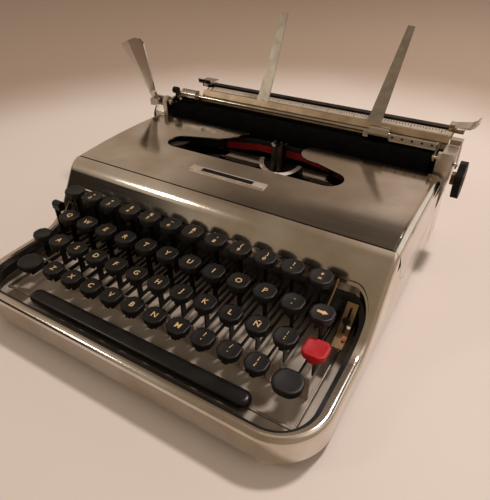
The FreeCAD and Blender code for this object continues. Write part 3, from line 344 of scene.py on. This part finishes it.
def lever_shape(x, y, top):
    front = y - STEM_HALF
    outline = [(BEND_Y, LEVER_LOW)] + boss_arc(-140, 140, 10)
    outline += [(BEND_Y, LEVER_TOP), (y + STEM_HALF, LEVER_TOP), (y + STEM_HALF - STEM_TAPER, top),
                (front + STEM_TAPER, top), (front, LEVER_LOW + LEVER_NOSE), (front + LEVER_NOSE, LEVER_LOW)]
    return prism(outline, "x", x - LEVER_T / 2, x + LEVER_T / 2)


# Comb: a low steel strip with an open slot in front of every lever, stoved with the pan it stands
# on. Light from behind comes through the slots and draws bright bars on the pan in front.
COMB_Y = -98.0
COMB_T = 1.2
COMB_TOP = 27.4
COMB_BASE = 9.6
COMB_X = (-112.5, 118.0)
COMB_FOOT_D = 8.0
COMB_FOOT_Z = (8.0, 9.2)
SLOT_HALF = 1.2
ROW_COUNTS = (11, 11, 11, 10)
OUTER_GAP = 21.6
slot_xs = [key_place(row, column)[0] for row in range(4) for column in range(ROW_COUNTS[row])]
slot_xs += [key_place(3, 0)[0] - OUTER_GAP, key_place(3, 9)[0] + OUTER_GAP]
teeth = [(COMB_X[0], COMB_FOOT_Z[0]), (COMB_X[1], COMB_FOOT_Z[0]), (COMB_X[1], COMB_TOP)]
for x in sorted(slot_xs, reverse=True):
    teeth += [(x + SLOT_HALF, COMB_TOP), (x + SLOT_HALF, COMB_BASE), (x - SLOT_HALF, COMB_BASE),
              (x - SLOT_HALF, COMB_TOP)]
teeth.append((COMB_X[0], COMB_TOP))
comb_foot = [(COMB_Y, COMB_FOOT_Z[0]), (COMB_Y + COMB_FOOT_D, COMB_FOOT_Z[0]),
             (COMB_Y + COMB_FOOT_D, COMB_FOOT_Z[1]), (COMB_Y, COMB_FOOT_Z[1])]
comb = gathered([prism(teeth, "y", COMB_Y - COMB_T / 2, COMB_Y + COMB_T / 2),
                 prism(comb_foot, "x", *COMB_X)])
comb_piece = mesh_object("lever_comb", *comb, pan_enamel, smooth=False)
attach(comb_piece, "chassis")
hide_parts("front_comb")


# Key caps: black phenolic, moulded round the stem as a softened octagon with a dished top, a
# raised lip and a small peg under the front. Handling has left it satin, with a soft edge glint.
CAP_CUT = 3.6
LEAST_CUT = 0.9
DISH_INSET = 1.2
CAP_RINGS = ((0.9, -5.0), (0.3, -4.7), (0.0, -1.2), (0.08, -0.62), (0.32, -0.2), (0.75, 0.0), (1.5, -0.07),
             (3.0, -0.22), (4.6, -0.32))
CENTRE_DIP = -0.38
CORNER_STEPS = 3
PEG_SET_BACK = 0.7
PEG_DEEP = 2.4
PEG_HALF = 1.7
PEG_LOW = 8.1
PEG_TOP = 4.6
PEG_CUT = (0.6, 0.7)
CAP_EDGE = 0.12
key_black = moulded("satin black phenolic", "#1A1816", "#131110", 0.42, 0.6, 0.12, 0.32)
key_red = moulded("satin red phenolic", "#BE1620", "#AC121B", 0.42, 0.6, 0.1, 0.32)


def softened(outline, radius):
    points = []
    n = len(outline)
    for i, (x, y) in enumerate(outline):
        ends = []
        for j in (i - 1, (i + 1) % n):
            dx, dy = outline[j][0] - x, outline[j][1] - y
            length = math.hypot(dx, dy)
            reach = min(radius, 0.46 * length) / length
            ends.append((x + dx * reach, y + dy * reach))
        for k in range(CORNER_STEPS + 1):
            t = k / CORNER_STEPS
            a, b, c = (1 - t) ** 2, 2 * t * (1 - t), t * t
            points.append((a * ends[0][0] + b * x + c * ends[1][0],
                           a * ends[0][1] + b * y + c * ends[1][1]))
    return points


def octagon(x, y, w, d, cut):
    hw, hd = w / 2, d / 2
    return [(x + hw, y - hd + cut), (x + hw, y + hd - cut), (x + hw - cut, y + hd), (x - hw + cut, y + hd),
            (x - hw, y + hd - cut), (x - hw, y - hd + cut), (x - hw + cut, y - hd), (x + hw - cut, y - hd)]


def ring_stack(rings, centre_top):
    n = len(rings[0])
    points = [p for ring in rings for p in ring] + [centre_top]
    faces = [tuple(range(n))]
    for level in range(len(rings) - 1):
        for i in range(n):
            j = (i + 1) % n
            faces.append((level * n + i, level * n + j, (level + 1) * n + j, (level + 1) * n + i))
    last = (len(rings) - 1) * n
    faces += [(last + i, last + (i + 1) % n, len(points) - 1) for i in range(n)]
    return points, faces


def cap_shape(x, y, z, w=CAP_W, d=CAP_D, cut=CAP_CUT, soft=1.1, peg=True, wide=1.0):
    rings = []
    for inset, height in CAP_RINGS:
        inset *= wide if inset > DISH_INSET else 1.0
        outline = octagon(x, y, w - 2 * inset, d - 2 * inset, max(cut - inset / 2, LEAST_CUT))
        rings.append([(px, py, z + height) for px, py in softened(outline, soft)])
    shape = ring_stack(rings, (x, y, z + CENTRE_DIP))
    if not peg:
        return shape
    front = y - d / 2 + PEG_SET_BACK
    back = front + PEG_DEEP
    peg_side = [(front, z - PEG_LOW + PEG_CUT[1]), (front + PEG_CUT[0], z - PEG_LOW), (back, z - PEG_LOW),
                (back, z - PEG_TOP), (front, z - PEG_TOP)]
    return gathered([shape, prism(peg_side, "x", x - PEG_HALF, x + PEG_HALF)])


# Legends: cream filler wiped into letters sunk in the caps, then rubbed level. They are plain
# strokes a little over half a millimetre wide, set upright in the dish.
LETTER_MM = 5.9
SIGN_MM = 4.5
STROKE_GAIN = 0.07
FILL_RISE = 0.05
FILL_HALF = 0.04
DISH = ((0.0, -0.38), (2.2, -0.32), (3.8, -0.22), (5.2, -0.07), (9.0, 0.0))
legend_cream = moulded("cream legend filler", "#E3C48C", "#D2B176", 0.5, 0.4, 0.05)


def dropped(px, py, x, y, z):
    out = max(abs(px - x), abs(py - y))
    for (near, low), (far, high) in zip(DISH, DISH[1:]):
        if out <= far:
            return px, py, z + FILL_RISE + low + (high - low) * (out - near) / (far - near)


def glyph_shape(text, size, x, y, centre):
    curve = bpy.data.curves.new("glyph", "FONT")
    curve.body = text
    curve.align_x = "CENTER"
    curve.align_y = "CENTER"
    curve.size = size
    curve.offset = STROKE_GAIN
    curve.resolution_u = 3
    curve.extrude = FILL_HALF
    holder = bpy.data.objects.new("glyph", curve)
    bpy.context.scene.collection.objects.link(holder)
    bpy.context.view_layer.update()
    mesh = bpy.data.meshes.new_from_object(holder.evaluated_get(bpy.context.evaluated_depsgraph_get()))
    spans = [[v.co[k] for v in mesh.vertices] for k in (0, 1)]
    middle = [(max(span) + min(span)) / 2 for span in spans]
    points = []
    for v in mesh.vertices:
        px, py, pz = dropped(x + v.co.x - middle[0], y + v.co.y - middle[1], *centre)
        points.append((px, py, pz + v.co.z))
    faces = [tuple(face.vertices) for face in mesh.polygons]
    bpy.data.objects.remove(holder)
    bpy.data.curves.remove(curve)
    bpy.data.meshes.remove(mesh)
    return points, faces


SIGN_OUT = 2.2


def legend_shapes(signs, x, y, z):
    if len(signs) == 1:
        return [glyph_shape(signs, LETTER_MM, x, y, (x, y, z))]
    return [glyph_shape(signs[0], SIGN_MM, x, y - SIGN_OUT, (x, y, z)),
            glyph_shape(signs[1], SIGN_MM, x, y + SIGN_OUT, (x, y, z))]


ROW_SIGNS = (
    ("2\"", "3*", "4$", "5%", "6_", "7&", "8'", "9(", "0)", "-!", "=+"),
    ("Q", "W", "E", "R", "T", "Y", "U", "I", "O", "P", "´¨"),
    ("A", "S", "D", "F", "G", "H", "J", "K", "L", "Ñ", ";:"),
    ("Z", "X", "C", "V", "B", "N", "M", ",?", "./", "¿¡"))
shapes = {}
for row, signs in enumerate(ROW_SIGNS):
    for column, sign in enumerate(signs):
        x, y, z = key_place(row, column)
        if row == 3:
            node_name = "bottom_row_keys"
        elif sign.isalpha() and sign.isascii():
            node_name = "key_" + sign.lower()
        else:
            node_name = "number_and_sign_keys"
        group = shapes.setdefault(node_name, ([], [], []))
        group[0].append(cap_shape(x, y, z))
        group[1].append(lever_shape(x, y, z - CAP_H + STEM_GRIP))
        group[2].extend(legend_shapes(sign, x, y, z))


def ride_as(node_name, slot_name, *pieces):
    for piece in pieces:
        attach(piece, node_name)
        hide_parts(node_name)


for node_name, (caps, levers, legends) in shapes.items():
    ride_as(node_name, "black_key", mesh_object(node_name + "_cap", *gathered(caps), key_black, bevel=CAP_EDGE),
            mesh_object(node_name + "_legend", *gathered(legends), legend_cream, smooth=False))
    ride_as(node_name, "blackened_steel",
            mesh_object(node_name + "_lever", *gathered(levers), lever_steel, bevel=LEVER_EDGE))

# Service keys: the same moulding without a letter. The tabulator is red, the backspace has an
# arrow, and the shift lock is a little smaller and has no peg.
ARROW = ((-3.3, 0.95), (0.4, 0.95), (0.4, 1.9), (3.5, 0.0), (0.4, -1.9), (0.4, -0.95), (-3.3, -0.95))
ARROW_T = 0.1
LOCK_SMALLER = 1.5
RED_CUT = 2.6
service = (("margin_release_key", 0, -1, key_black, "black_key"),
           ("backspace_key", 1, 11, key_black, "black_key"),
           ("tabulator_key", 2, 11, key_red, "red_key"),
           ("shift_lock", 2, -1, key_black, "black_key"))
for node_name, row, column, finish, slot_name in service:
    x, y, z = key_place(row, column)
    small = LOCK_SMALLER if node_name == "shift_lock" else 0.0
    cut = RED_CUT if finish is key_red else CAP_CUT
    cap = cap_shape(x, y, z, CAP_W - small, CAP_D - small, cut, peg=not small)
    ride_as(node_name, slot_name, mesh_object(node_name + "_cap", *cap, finish, bevel=CAP_EDGE))
    lever = lever_shape(x, y, z - CAP_H + STEM_GRIP)
    ride_as(node_name, "blackened_steel",
            mesh_object(node_name + "_lever", *lever, lever_steel, bevel=LEVER_EDGE))
    if node_name == "backspace_key":
        n = len(ARROW)
        top = [dropped(x + ax, y + ay, x, y, z) for ax, ay in ARROW]
        points = [(px, py, pz - ARROW_T) for px, py, pz in top] + top
        faces = [tuple(range(n)), tuple(range(n, 2 * n))]
        faces += [(i, (i + 1) % n, n + (i + 1) % n, n + i) for i in range(n)]
        arrow = mesh_object("backspace_arrow", points, faces, legend_cream, smooth=False)
        ride_as(node_name, "black_key", arrow)

# Shift keys: two larger squarer caps on one frame, at the ends of the front row. They are
# moulded of the same black phenolic, without a letter.
SHIFT_W = 18.5
SHIFT_D = 17.0
SHIFT_Y = ROW4_Y - 3.0
SHIFT_CUT = 4.6
SHIFT_SOFT = 2.6
SHIFT_DISH = 1.35
shift_xs = (key_place(3, 0)[0] - OUTER_GAP, key_place(3, 9)[0] + OUTER_GAP)
caps = [cap_shape(x, SHIFT_Y, ROW4_Z, SHIFT_W, SHIFT_D, SHIFT_CUT, SHIFT_SOFT, False, SHIFT_DISH)
        for x in shift_xs]
levers = [lever_shape(x, SHIFT_Y, ROW4_Z - CAP_H + STEM_GRIP) for x in shift_xs]
ride_as("shift_keys", "black_key", mesh_object("shift_caps", *gathered(caps), key_black, bevel=CAP_EDGE))
ride_as("shift_keys", "blackened_steel",
        mesh_object("shift_levers", *gathered(levers), lever_steel, bevel=LEVER_EDGE))

# Tabulator set key: a small block with round edges, pushed sideways over the end of its lever
# at the left of the bottom rows. It is of the same black phenolic as the caps.
TAB_SET_X = -120.6
TAB_SET_Y = -66.0
TAB_SET_Z = 56.0
TAB_STEM_TOP = 52.5
TAB_BLOCK_X = (TAB_SET_X - 0.8, TAB_SET_X + 7.0)
TAB_BLOCK_D = 6.0
TAB_BLOCK_H = 8.0
TAB_BLOCK_CUT = 1.6
TAB_BLOCK_SOFT = 0.8
TAB_BLOCK_EDGE = 0.4
block_side = softened(octagon(TAB_SET_Y, TAB_SET_Z, TAB_BLOCK_D, TAB_BLOCK_H, TAB_BLOCK_CUT), TAB_BLOCK_SOFT)
block = mesh_object("tab_set_block", *prism(block_side, "x", *TAB_BLOCK_X), key_black, bevel=TAB_BLOCK_EDGE)
stem = lever_shape(TAB_SET_X, TAB_SET_Y, TAB_STEM_TOP)
ride_as("tab_set_lever", "black_key", block)
ride_as("tab_set_lever", "blackened_steel", mesh_object("tab_set_stem", *stem, lever_steel, bevel=LEVER_EDGE))

# Space bar: one long phenolic moulding with round ends and a rolled top, on a cross bar and two
# arms of zinc plated steel. Its front edge takes one long soft highlight.
BAR_X = (-88.0, 95.0)
BAR_Y = ROW4_Y - 18.0
BAR_Z = 25.4
BAR_H = 7.6
BAR_HALF = 6.0
BAR_ARMS = (-117.6, 122.0)
ARM_FRONT = 1.0
ARM_LOW = 15.2
ARM_EDGE = 0.25
CROSS_HALF = 0.8
CROSS_LOW = 16.2
BAR_RINGS = ((0.7, -7.6), (0.2, -7.0), (0.0, -2.9), (0.5, -1.5), (1.5, -0.5), (2.8, -0.08), (4.2, 0.0))
END_STEPS = 10


def bar_ring(inset, height):
    r = BAR_HALF - inset
    ring = []
    for middle, start in ((BAR_X[1] - BAR_HALF, -90), (BAR_X[0] + BAR_HALF, 90)):
        for k in range(END_STEPS + 1):
            a = math.radians(start + 180 * k / END_STEPS)
            ring.append((middle + r * math.cos(a), BAR_Y + r * math.sin(a), BAR_Z + height))
    return ring


bar = ring_stack([bar_ring(*ring) for ring in BAR_RINGS], ((BAR_X[0] + BAR_X[1]) / 2, BAR_Y, BAR_Z))
arm_side = [(BAR_Y - ARM_FRONT, ARM_LOW), (BAR_Y - ARM_FRONT, BAR_Z - BAR_H)] + boss_arc(60, -60)
arms = [prism(arm_side, "x", x - LEVER_T / 2, x + LEVER_T / 2) for x in BAR_ARMS]
cross_side = [(BAR_Y - CROSS_HALF, CROSS_LOW), (BAR_Y + CROSS_HALF, CROSS_LOW),
              (BAR_Y + CROSS_HALF, BAR_Z - BAR_H), (BAR_Y - CROSS_HALF, BAR_Z - BAR_H)]
cross = prism(cross_side, "x", BAR_ARMS[0] + LEVER_T / 2, BAR_ARMS[1] - LEVER_T / 2)
bar_black = moulded("polished black phenolic", "#191715", "#12100F", 0.3, 0.8, 0.08, 0.35)
ride_as("space_bar", "black_plastic", mesh_object("space_bar_top", *bar, bar_black))
zinc_steel = plain_metal("zinc plated steel", "#9C9286", "#7E7468", 0.45, 1.0)
ride_as("space_bar", "blackened_steel",
        mesh_object("space_bar_arms", *gathered(arms + [cross]), zinc_steel, bevel=ARM_EDGE))

# Type basket: forty-three forged type bars in a slotted segment of grey steel. The bars are painted a
# dark brown, which is painted shade of the deep basket, and only their edges catch the light that
# falls through the slot of the cover.
nickel = plain_metal("dull nickel plate", "#F4EFE6", "#E2DBCF", 0.55, 1.4)
grey_steel = plain_metal("oiled grey steel", "#5E544A", "#453D35", 0.45, 1.4)
# The dark brown of the type bars is painted shade of the basket.
bar_painted_shade_brown = plain_metal("type bar steel painted dark with shade", "#4A3B33", "#2B221D", 0.4, 1.0)
paint("segment", grey_steel)
paint("typebars", bar_painted_shade_brown)
paint("typebar_y", bar_painted_shade_brown)
paint("ribbon_vibrator", lever_steel)

# Segment ring: the ground and nickel plated top face of the segment, on which the bars rest. It is
# the one bright arc in the slot of the cover.
BASKET_Y = 99.56
BASKET_Z = 39.92
BASKET_TILT = math.radians(18.0)
RING_R = (17.4, 21.6)
RING_Z = (15.8, 16.2)
RING_STEPS = 40
RING_HALF_SPAN = 82.0


def in_basket(r, degrees, height):
    a = math.radians(degrees)
    x, y = r * math.sin(a), -r * math.cos(a)
    return (x, BASKET_Y + y * math.cos(BASKET_TILT) - height * math.sin(BASKET_TILT),
            BASKET_Z + y * math.sin(BASKET_TILT) + height * math.cos(BASKET_TILT))


points, faces = [], []
for k in range(RING_STEPS + 1):
    turn = RING_HALF_SPAN * (2 * k / RING_STEPS - 1)
    points += [in_basket(r, turn, h) for r, h in ((RING_R[0], RING_Z[0]), (RING_R[1], RING_Z[0]),
                                                   (RING_R[1], RING_Z[1]), (RING_R[0], RING_Z[1]))]
    if k:
        faces += [(4 * k - 4 + j, 4 * k - 4 + (j + 1) % 4, 4 * k + (j + 1) % 4, 4 * k + j)
                  for j in range(4)]
faces += [(0, 1, 2, 3), tuple(range(4 * RING_STEPS, 4 * RING_STEPS + 4))]
ring = mesh_object("segment_ring", points, faces, nickel, smooth=False)
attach(ring, "type_basket")

# Type guide: two cheeks of satin steel in front of the slotted guide, which catch the type bar
# from both sides. Their tops are chamfered inward like a wide V.
CHEEK_X = (1.65, 4.2)
CHEEK_Y = (79.9, 84.4)
CHEEK_FOOT = 48.0
CHEEK_TOP = 76.0
CHEEK_FALL = 2.8
cheek_steel = plain_metal("satin steel of the guide", "#A8A096", "#8C847A", 0.4, 1.0)
cheeks = []
for side in (-1, 1):
    inner, outer = side * CHEEK_X[0], side * CHEEK_X[1]
    face = [(inner, CHEEK_FOOT), (outer, CHEEK_FOOT), (outer, CHEEK_TOP), (inner, CHEEK_TOP - CHEEK_FALL)]
    cheeks.append(prism(face, "y", *CHEEK_Y))
guide = mesh_object("type_guide_cheeks", *gathered(cheeks), cheek_steel, smooth=False)
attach(guide, "chassis")

# Casing: deep-drawn steel sheet, ground along its length and polished bright. The eye sees soft
# reflections drawn out by the fine grinding lines, and a warm brown bloom of age.
GRIND_LENGTH_MM = 45.0
GRIND_WIDTH_MM = 0.9


# The real lines are a tenth of this width: they are drawn coarser, so that they show at all.
def polished_sheet(name, bright, bloom, rough):
    made, tree = new_material(name)
    place = add_node(tree, "TexCoord")
    lines = (1000 / GRIND_LENGTH_MM, 1000 / GRIND_WIDTH_MM, 1000 / GRIND_WIDTH_MM)
    drawn = add_node(tree, "Mapping", {"Vector": place.outputs["Object"], "Scale": lines})
    grain = add_node(tree, "TexNoise", {"Vector": drawn.outputs["Vector"], "Scale": 1.0, "Detail": 4.0})
    cloud = add_node(tree, "TexNoise", {"Vector": place.outputs["Object"], "Scale": 24.0, "Detail": 5.0})
    tint = add_node(tree, "ValToRGB", {"Fac": cloud.outputs["Fac"]}, stops=((0.36, bloom), (0.62, bright)))
    worn = add_node(tree, "MapRange", {"Value": grain.outputs["Fac"], "From Min": 0.3, "From Max": 0.7,
                                       "To Min": rough - 0.02, "To Max": rough + 0.02})
    patch = add_node(tree, "MapRange", {"Value": cloud.outputs["Fac"], "From Min": 0.3, "From Max": 0.7,
                                        "To Min": 0.03, "To Max": -0.01})
    level = add_node(tree, "Math", {0: worn.outputs["Result"], 1: patch.outputs["Result"]}, operation="ADD")
    relief = add_node(tree, "Bump", {"Height": grain.outputs["Fac"], "Strength": 0.006, "Distance": 0.0003})
    skin = add_node(tree, "BsdfPrincipled", {
        "Base Color": tint.outputs["Color"], "Metallic": 1.0, "Roughness": level.outputs["Value"],
        "Normal": relief.outputs["Normal"]})
    add_node(tree, "OutputMaterial", {"Surface": skin.outputs["BSDF"]})
    return made


casing_steel = polished_sheet("ground and polished steel sheet", "#E0DAD1", "#CABFB1", 0.13)
paint("main_casing", casing_steel)
paint("rear_casing", casing_steel)

# Gasket: an extruded black rubber strip pushed up inside the keyboard opening, a few millimetres
# below the rim. It is the only glossy rubber, wiped clean with the casing.
gasket_rubber = moulded("glossy black rubber", "#11100F", "#0B0A0A", 0.22, 1.5, 0.05)
paint("opening_gasket", gasket_rubber)

# Ribbon selector: a black moulded stud in the slot of a track of yellow zinc plate, with a white
# and a red enamel dot beside it, all under the right edge of the opening.
DOT_R = 1.3
DOT_SUNK = 0.6
DOT_PROUD = 0.5
DOT_STEPS = 12
DOTS = (((124.4, -56.0, 34.9), "#D8D0C4"), ((124.4, -63.0, 30.3), "#B0202A"))
knob_black = moulded("black moulded knob", "#121110", "#0C0B0B", 0.5, 0.9, 0.1, 0.15)
yellow_zinc = plain_metal("yellow zinc plate", "#A58B68", "#80694A", 0.42, 1.2)
paint("ribbon_selector", knob_black)
paint("selector_plate", yellow_zinc)
for (x, y, z), colour in DOTS:
    turns = [2 * math.pi * k / DOT_STEPS for k in range(DOT_STEPS)]
    rim = [(x + DOT_R * math.cos(turn), y + DOT_R * math.sin(turn)) for turn in turns]
    dot_enamel = moulded("dot enamel " + colour[1:], colour, colour, 0.35, 0.5, 0.05)
    disc = prism(rim, "z", z - DOT_SUNK, z + DOT_PROUD)
    dot = mesh_object("selector_dot_" + colour[1:], *disc, dot_enamel, smooth=False)
    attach(dot, "chassis")

# Ribbon cover: the same polished sheet, pressed with a slight crown and a slot over the type.
# It has been rubbed more than the casing, so it is a little duller and darker.
cover_steel = polished_sheet("rubbed steel of the cover", "#D8D1C7", "#C1B6A7", 0.12)
paint("ribbon_cover", cover_steel)

# Name plate: a bare strip of satin aluminium let into the cover, with a dark enamelled field
# and two bright ends. Nothing is written on it.
FIELD_X = (-27.0, 19.5)
FIELD_Y = (4.4, 9.1)
FIELD_SUNK = 0.2
FIELD_PROUD = 0.06
satin_plate = plain_metal("satin plate aluminium", "#EDE4D8", "#DCD1C2", 0.45, 0.9)
field_enamel = moulded("black field enamel", "#12110F", "#0C0B0A", 0.5, 0.8, 0.05, 0.12)
paint("name_plate", satin_plate)
plate_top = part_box("name_plate")[1].z * 1000
field_outline = [(FIELD_X[0], FIELD_Y[0]), (FIELD_X[1], FIELD_Y[0]), (FIELD_X[1], FIELD_Y[1]),
                 (FIELD_X[0], FIELD_Y[1])]
field_block = prism(field_outline, "z", plate_top - FIELD_SUNK, plate_top + FIELD_PROUD)
field = mesh_object("name_field", *field_block, field_enamel, smooth=False)
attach(field, "ribbon_cover")

# Spools and ribbon: two pressed tin spools under the cover, and a cotton ribbon inked black above
# and red below, held straight across the platen by the vibrator's fork.
RIBBON_HALF = ((0.0, 90.9), (23.0, 90.9), (53.0, 82.2), (88.0, 68.6))
RIBBON_Z = (60.4, 71.4)
RIBBON_T = 0.3
RIBBON_STEP = 4.0
RIBBON_LEVELS = (0.0, 0.35, 0.57, 0.58, 0.8, 1.0)
RED_TOP = 66.8
RED_FROM = -56.0
WEAVE_MM = 0.5
tin = plain_metal("pressed tin plate", "#A39C91", "#837B6F", 0.35, 1.2)
for name in ("spool_left", "spool_right"):
    paint(name, tin)
ribbon_cotton, tree = new_material("two-colour inked cotton")
place = add_node(tree, "TexCoord")
split = add_node(tree, "SeparateXYZ", {"Vector": place.outputs["Object"]})
upper = add_node(tree, "Math", {0: split.outputs["Z"], 1: RED_TOP / 1000}, operation="GREATER_THAN")
aside = add_node(tree, "Math", {0: split.outputs["X"], 1: MIDDLE_X + RED_FROM / 1000}, operation="LESS_THAN")
black = add_node(tree, "Math", {0: upper.outputs["Value"], 1: aside.outputs["Value"]}, operation="MAXIMUM")
tint = add_node(tree, "ValToRGB", {"Fac": black.outputs["Value"]},
                stops=((0.0, "#A01016"), (1.0, "#0D0C0C")))
weave = add_node(tree, "TexNoise", {"Vector": place.outputs["Object"], "Scale": 1000 / WEAVE_MM,
                                    "Detail": 1.0})
relief = add_node(tree, "Bump", {"Height": weave.outputs["Fac"], "Strength": 0.3, "Distance": 0.0001})
skin = add_node(tree, "BsdfPrincipled", {
    "Base Color": tint.outputs["Color"], "Roughness": 0.75, "Sheen Weight": 0.1,
    "Normal": relief.outputs["Normal"]})
add_node(tree, "OutputMaterial", {"Surface": skin.outputs["BSDF"]})
line = [(-x, y) for x, y in reversed(RIBBON_HALF[1:])] + list(RIBBON_HALF)
track = []
for start, end in zip(line, line[1:]):
    steps = max(1, round(math.dist(start, end) / RIBBON_STEP))
    track += [(start[0] + (end[0] - start[0]) * k / steps, start[1] + (end[1] - start[1]) * k / steps)
              for k in range(steps)]
track.append(line[-1])
rows = len(RIBBON_LEVELS)
loop = 2 * rows
points = []
for x, y in track:
    for side, levels in ((0.0, RIBBON_LEVELS), (RIBBON_T, RIBBON_LEVELS[::-1])):
        points += [(x, y + side, RIBBON_Z[0] + (RIBBON_Z[1] - RIBBON_Z[0]) * level) for level in levels]
faces = [tuple(range(loop)), tuple(range(len(points) - loop, len(points)))]
for i in range(len(track) - 1):
    faces += [(i * loop + j, i * loop + (j + 1) % loop, (i + 1) * loop + (j + 1) % loop, (i + 1) * loop + j)
              for j in range(loop)]
ribbon = mesh_object("inked_ribbon", points, faces, ribbon_cotton, smooth=False)
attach(ribbon, "chassis")
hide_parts("ink_ribbon")

# Platen: a hard black rubber sleeve on a steel shaft, ground true and now dry and dull. Black
# moulded knobs with fine teeth for the fingers sit on brass hubs that have gone brown.
platen_rubber = moulded("ground platen rubber", "#0E0D0D", "#090909", 0.7, 0.6, 0.08, 0.0)
paint("platen", platen_rubber)
PLATEN_Y = 109.0
PLATEN_Z = 67.5
KNURL_TEETH = 72
KNURL_DEEP = 0.3
RIGHT_GRIP = (14.75, 147.6, 153.2)
LEFT_GRIP = (11.0, -153.6, -148.2)
HUB_R = 5.2
HUB_STEPS = 36
HUB_XS = ((143.9, 147.6), (153.2, 153.8), (-154.2, -153.6))
hub_brown = plain_metal("tarnished brass hub", "#7A5540", "#54382A", 0.4, 0.9)


def knurled(radius, low, high):
    rim = []
    for k in range(2 * KNURL_TEETH):
        r = radius - (KNURL_DEEP if k % 2 else 0.0)
        a = math.pi * k / KNURL_TEETH
        rim.append((PLATEN_Y + r * math.cos(a), PLATEN_Z + r * math.sin(a)))
    return prism(rim, "x", low, high)


def hub(low, high):
    turns = [2 * math.pi * k / HUB_STEPS for k in range(HUB_STEPS)]
    rim = [(PLATEN_Y + HUB_R * math.cos(turn), PLATEN_Z + HUB_R * math.sin(turn)) for turn in turns]
    return prism(rim, "x", low, high)


grips = gathered([knurled(*RIGHT_GRIP), knurled(*LEFT_GRIP)])
hubs = gathered([hub(*ends) for ends in HUB_XS])
for piece in (mesh_object("knob_grips", *grips, knob_black, smooth=False),
              mesh_object("knob_hubs", *hubs, hub_brown, smooth=False)):
    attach(piece, "platen")
    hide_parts("platen_knobs")

# Carriage: cast end plates and a pressed beam in satin nickel, with chromium plated levers and
# stops. The paper table behind is warm brushed nickel silver.
satin_cast = plain_metal("satin nickel casting", "#CFC6B9", "#B0A597", 0.33, 1.6)
chrome = plain_metal("chromium plate", "#D8D2C9", "#C2BAAF", 0.13, 3.0, 0.04)
table_silver = plain_metal("brushed nickel silver", "#B2A38D", "#9C8D78", 0.4, 1.8)
paint("carriage_frame", satin_cast)
for name in ("line_space_lever", "paper_bail", "margin_stop_left", "margin_stop_right",
             "carriage_release_lever"):
    paint(name, chrome)
paint("margin_rack", oil_black)
paint("paper_release_lever", knob_black)
paint("paper_table", table_silver)

# Table front: a folded sheet of brushed nickel silver in front of the feet of the paper supports.
# It faces away from the ceiling lamp, so its silver is painted lighter than the paper table's, as
# painted light against that shade. It reads as one even tan strip behind the platen.
TABLE_X = (-106.0, 134.0)
TABLE_FOLD = ((120.4, 84.6), (121.5, 88.0), (121.55, 90.0), (124.3, 94.8), (124.75, 94.5), (122.1, 89.85),
              (122.05, 88.1), (121.2, 85.6), (123.0, 85.2), (123.0, 84.6))
# This silver is painted lighter than the paper table's own, as painted light for a sheet in shade.
lightened_table_silver = plain_metal("brushed nickel silver painted lighter", "#C6B195", "#B09B7F", 0.42, 1.4)
table_front = mesh_object("table_front", *prism(TABLE_FOLD, "x", *TABLE_X), lightened_table_silver, smooth=False)
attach(table_front, "carriage")

# Margin scale: a strip of silvered enamel along the back of the paper table, with a line for every
# character, ten to the inch. The lines are drawn twice as wide as real ones, so that they show.
SCALE_Y = (135.0, 141.6)
SCALE_X = (-104.0, 131.0)
SCALE_T = 0.25
TABLE_EDGE = (134.0, 90.7)
TABLE_SLOPE = 1.8 / 8.3
CHARACTER_MM = 2.54
TICK_HALF = 0.3
TICK_TOP = 0.3
TICK_BACK = 141.2
TICK_FRONTS = ((10, 136.2), (5, 137.4), (1, 138.6))
scale_enamel = enamel("silvered scale enamel", "#B9AD9E", "#AB9F90", 0.4, 0.8)


def on_table(y, above):
    return y, TABLE_EDGE[1] + (y - TABLE_EDGE[0]) * TABLE_SLOPE + above


def table_strip(near, far, low, high, x0, x1):
    outline = [on_table(near, low), on_table(far, low), on_table(far, high), on_table(near, high)]
    return prism(outline, "x", x0, x1)


strip = table_strip(*SCALE_Y, 0.0, SCALE_T, *SCALE_X)
scale = mesh_object("margin_scale", *strip, scale_enamel, smooth=False)
count = int((SCALE_X[1] - SCALE_X[0]) / CHARACTER_MM)
marks = []
for k in range(1, count):
    x = SCALE_X[0] + k * CHARACTER_MM
    near = next(front for every, front in TICK_FRONTS if k % every == 0)
    marks.append(table_strip(near, TICK_BACK, SCALE_T, TICK_TOP, x - TICK_HALF, x + TICK_HALF))
ticks = mesh_object("scale_lines", *gathered(marks), field_enamel, smooth=False)
for piece in (scale, ticks):
    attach(piece, "carriage")

# Bail plate: a bright strip with rounded ends on the bail rod, with small dark marks that show
# how far the paper reaches.
BAIL_PLATE_X = 96.6
BAIL_PLATE_Z = 89.3
BAIL_PLATE_W = 59.8
BAIL_PLATE_H = 4.4
BAIL_PLATE_CUT = 1.2
BAIL_PLATE_SOFT = 0.8
BAIL_PLATE_Y = (112.45, 112.8)
MARK_XS = (91.2, 99.4, 107.5, 115.5, 123.3)
MARK_Z = (88.5, 90.2)
MARK_HALF = 0.9
MARK_T = 0.05
plate_side = octagon(BAIL_PLATE_X, BAIL_PLATE_Z, BAIL_PLATE_W, BAIL_PLATE_H, BAIL_PLATE_CUT)
plate_block = prism(softened(plate_side, BAIL_PLATE_SOFT), "y", *BAIL_PLATE_Y)
bail_silver = enamel("silvered bail plate", "#C4B9AA", "#B6AB9B", 0.4, 0.8)
bail_plate = mesh_object("bail_plate", *plate_block, bail_silver, smooth=False)
squares = []
for x in MARK_XS:
    left, right = x - MARK_HALF, x + MARK_HALF
    square = [(left, MARK_Z[0]), (right, MARK_Z[0]), (right, MARK_Z[1]), (left, MARK_Z[1])]
    squares.append(prism(square, "y", BAIL_PLATE_Y[0] - MARK_T, BAIL_PLATE_Y[0]))
bail_marks = mesh_object("bail_marks", *gathered(squares), field_enamel, smooth=False)
for piece in (bail_plate, bail_marks):
    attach(piece, "paper_bail")

# Paper supports: two stamped blades of satin aluminium, folded up behind the platen.
# Their matt surface stays an even warm grey next to the bright casing.
blade_alloy = plain_metal("satin stamped aluminium", "#B2A99C", "#A2998B", 0.36, 0.8)
for name in ("paper_support_left", "paper_support_right"):
    paint(name, blade_alloy)
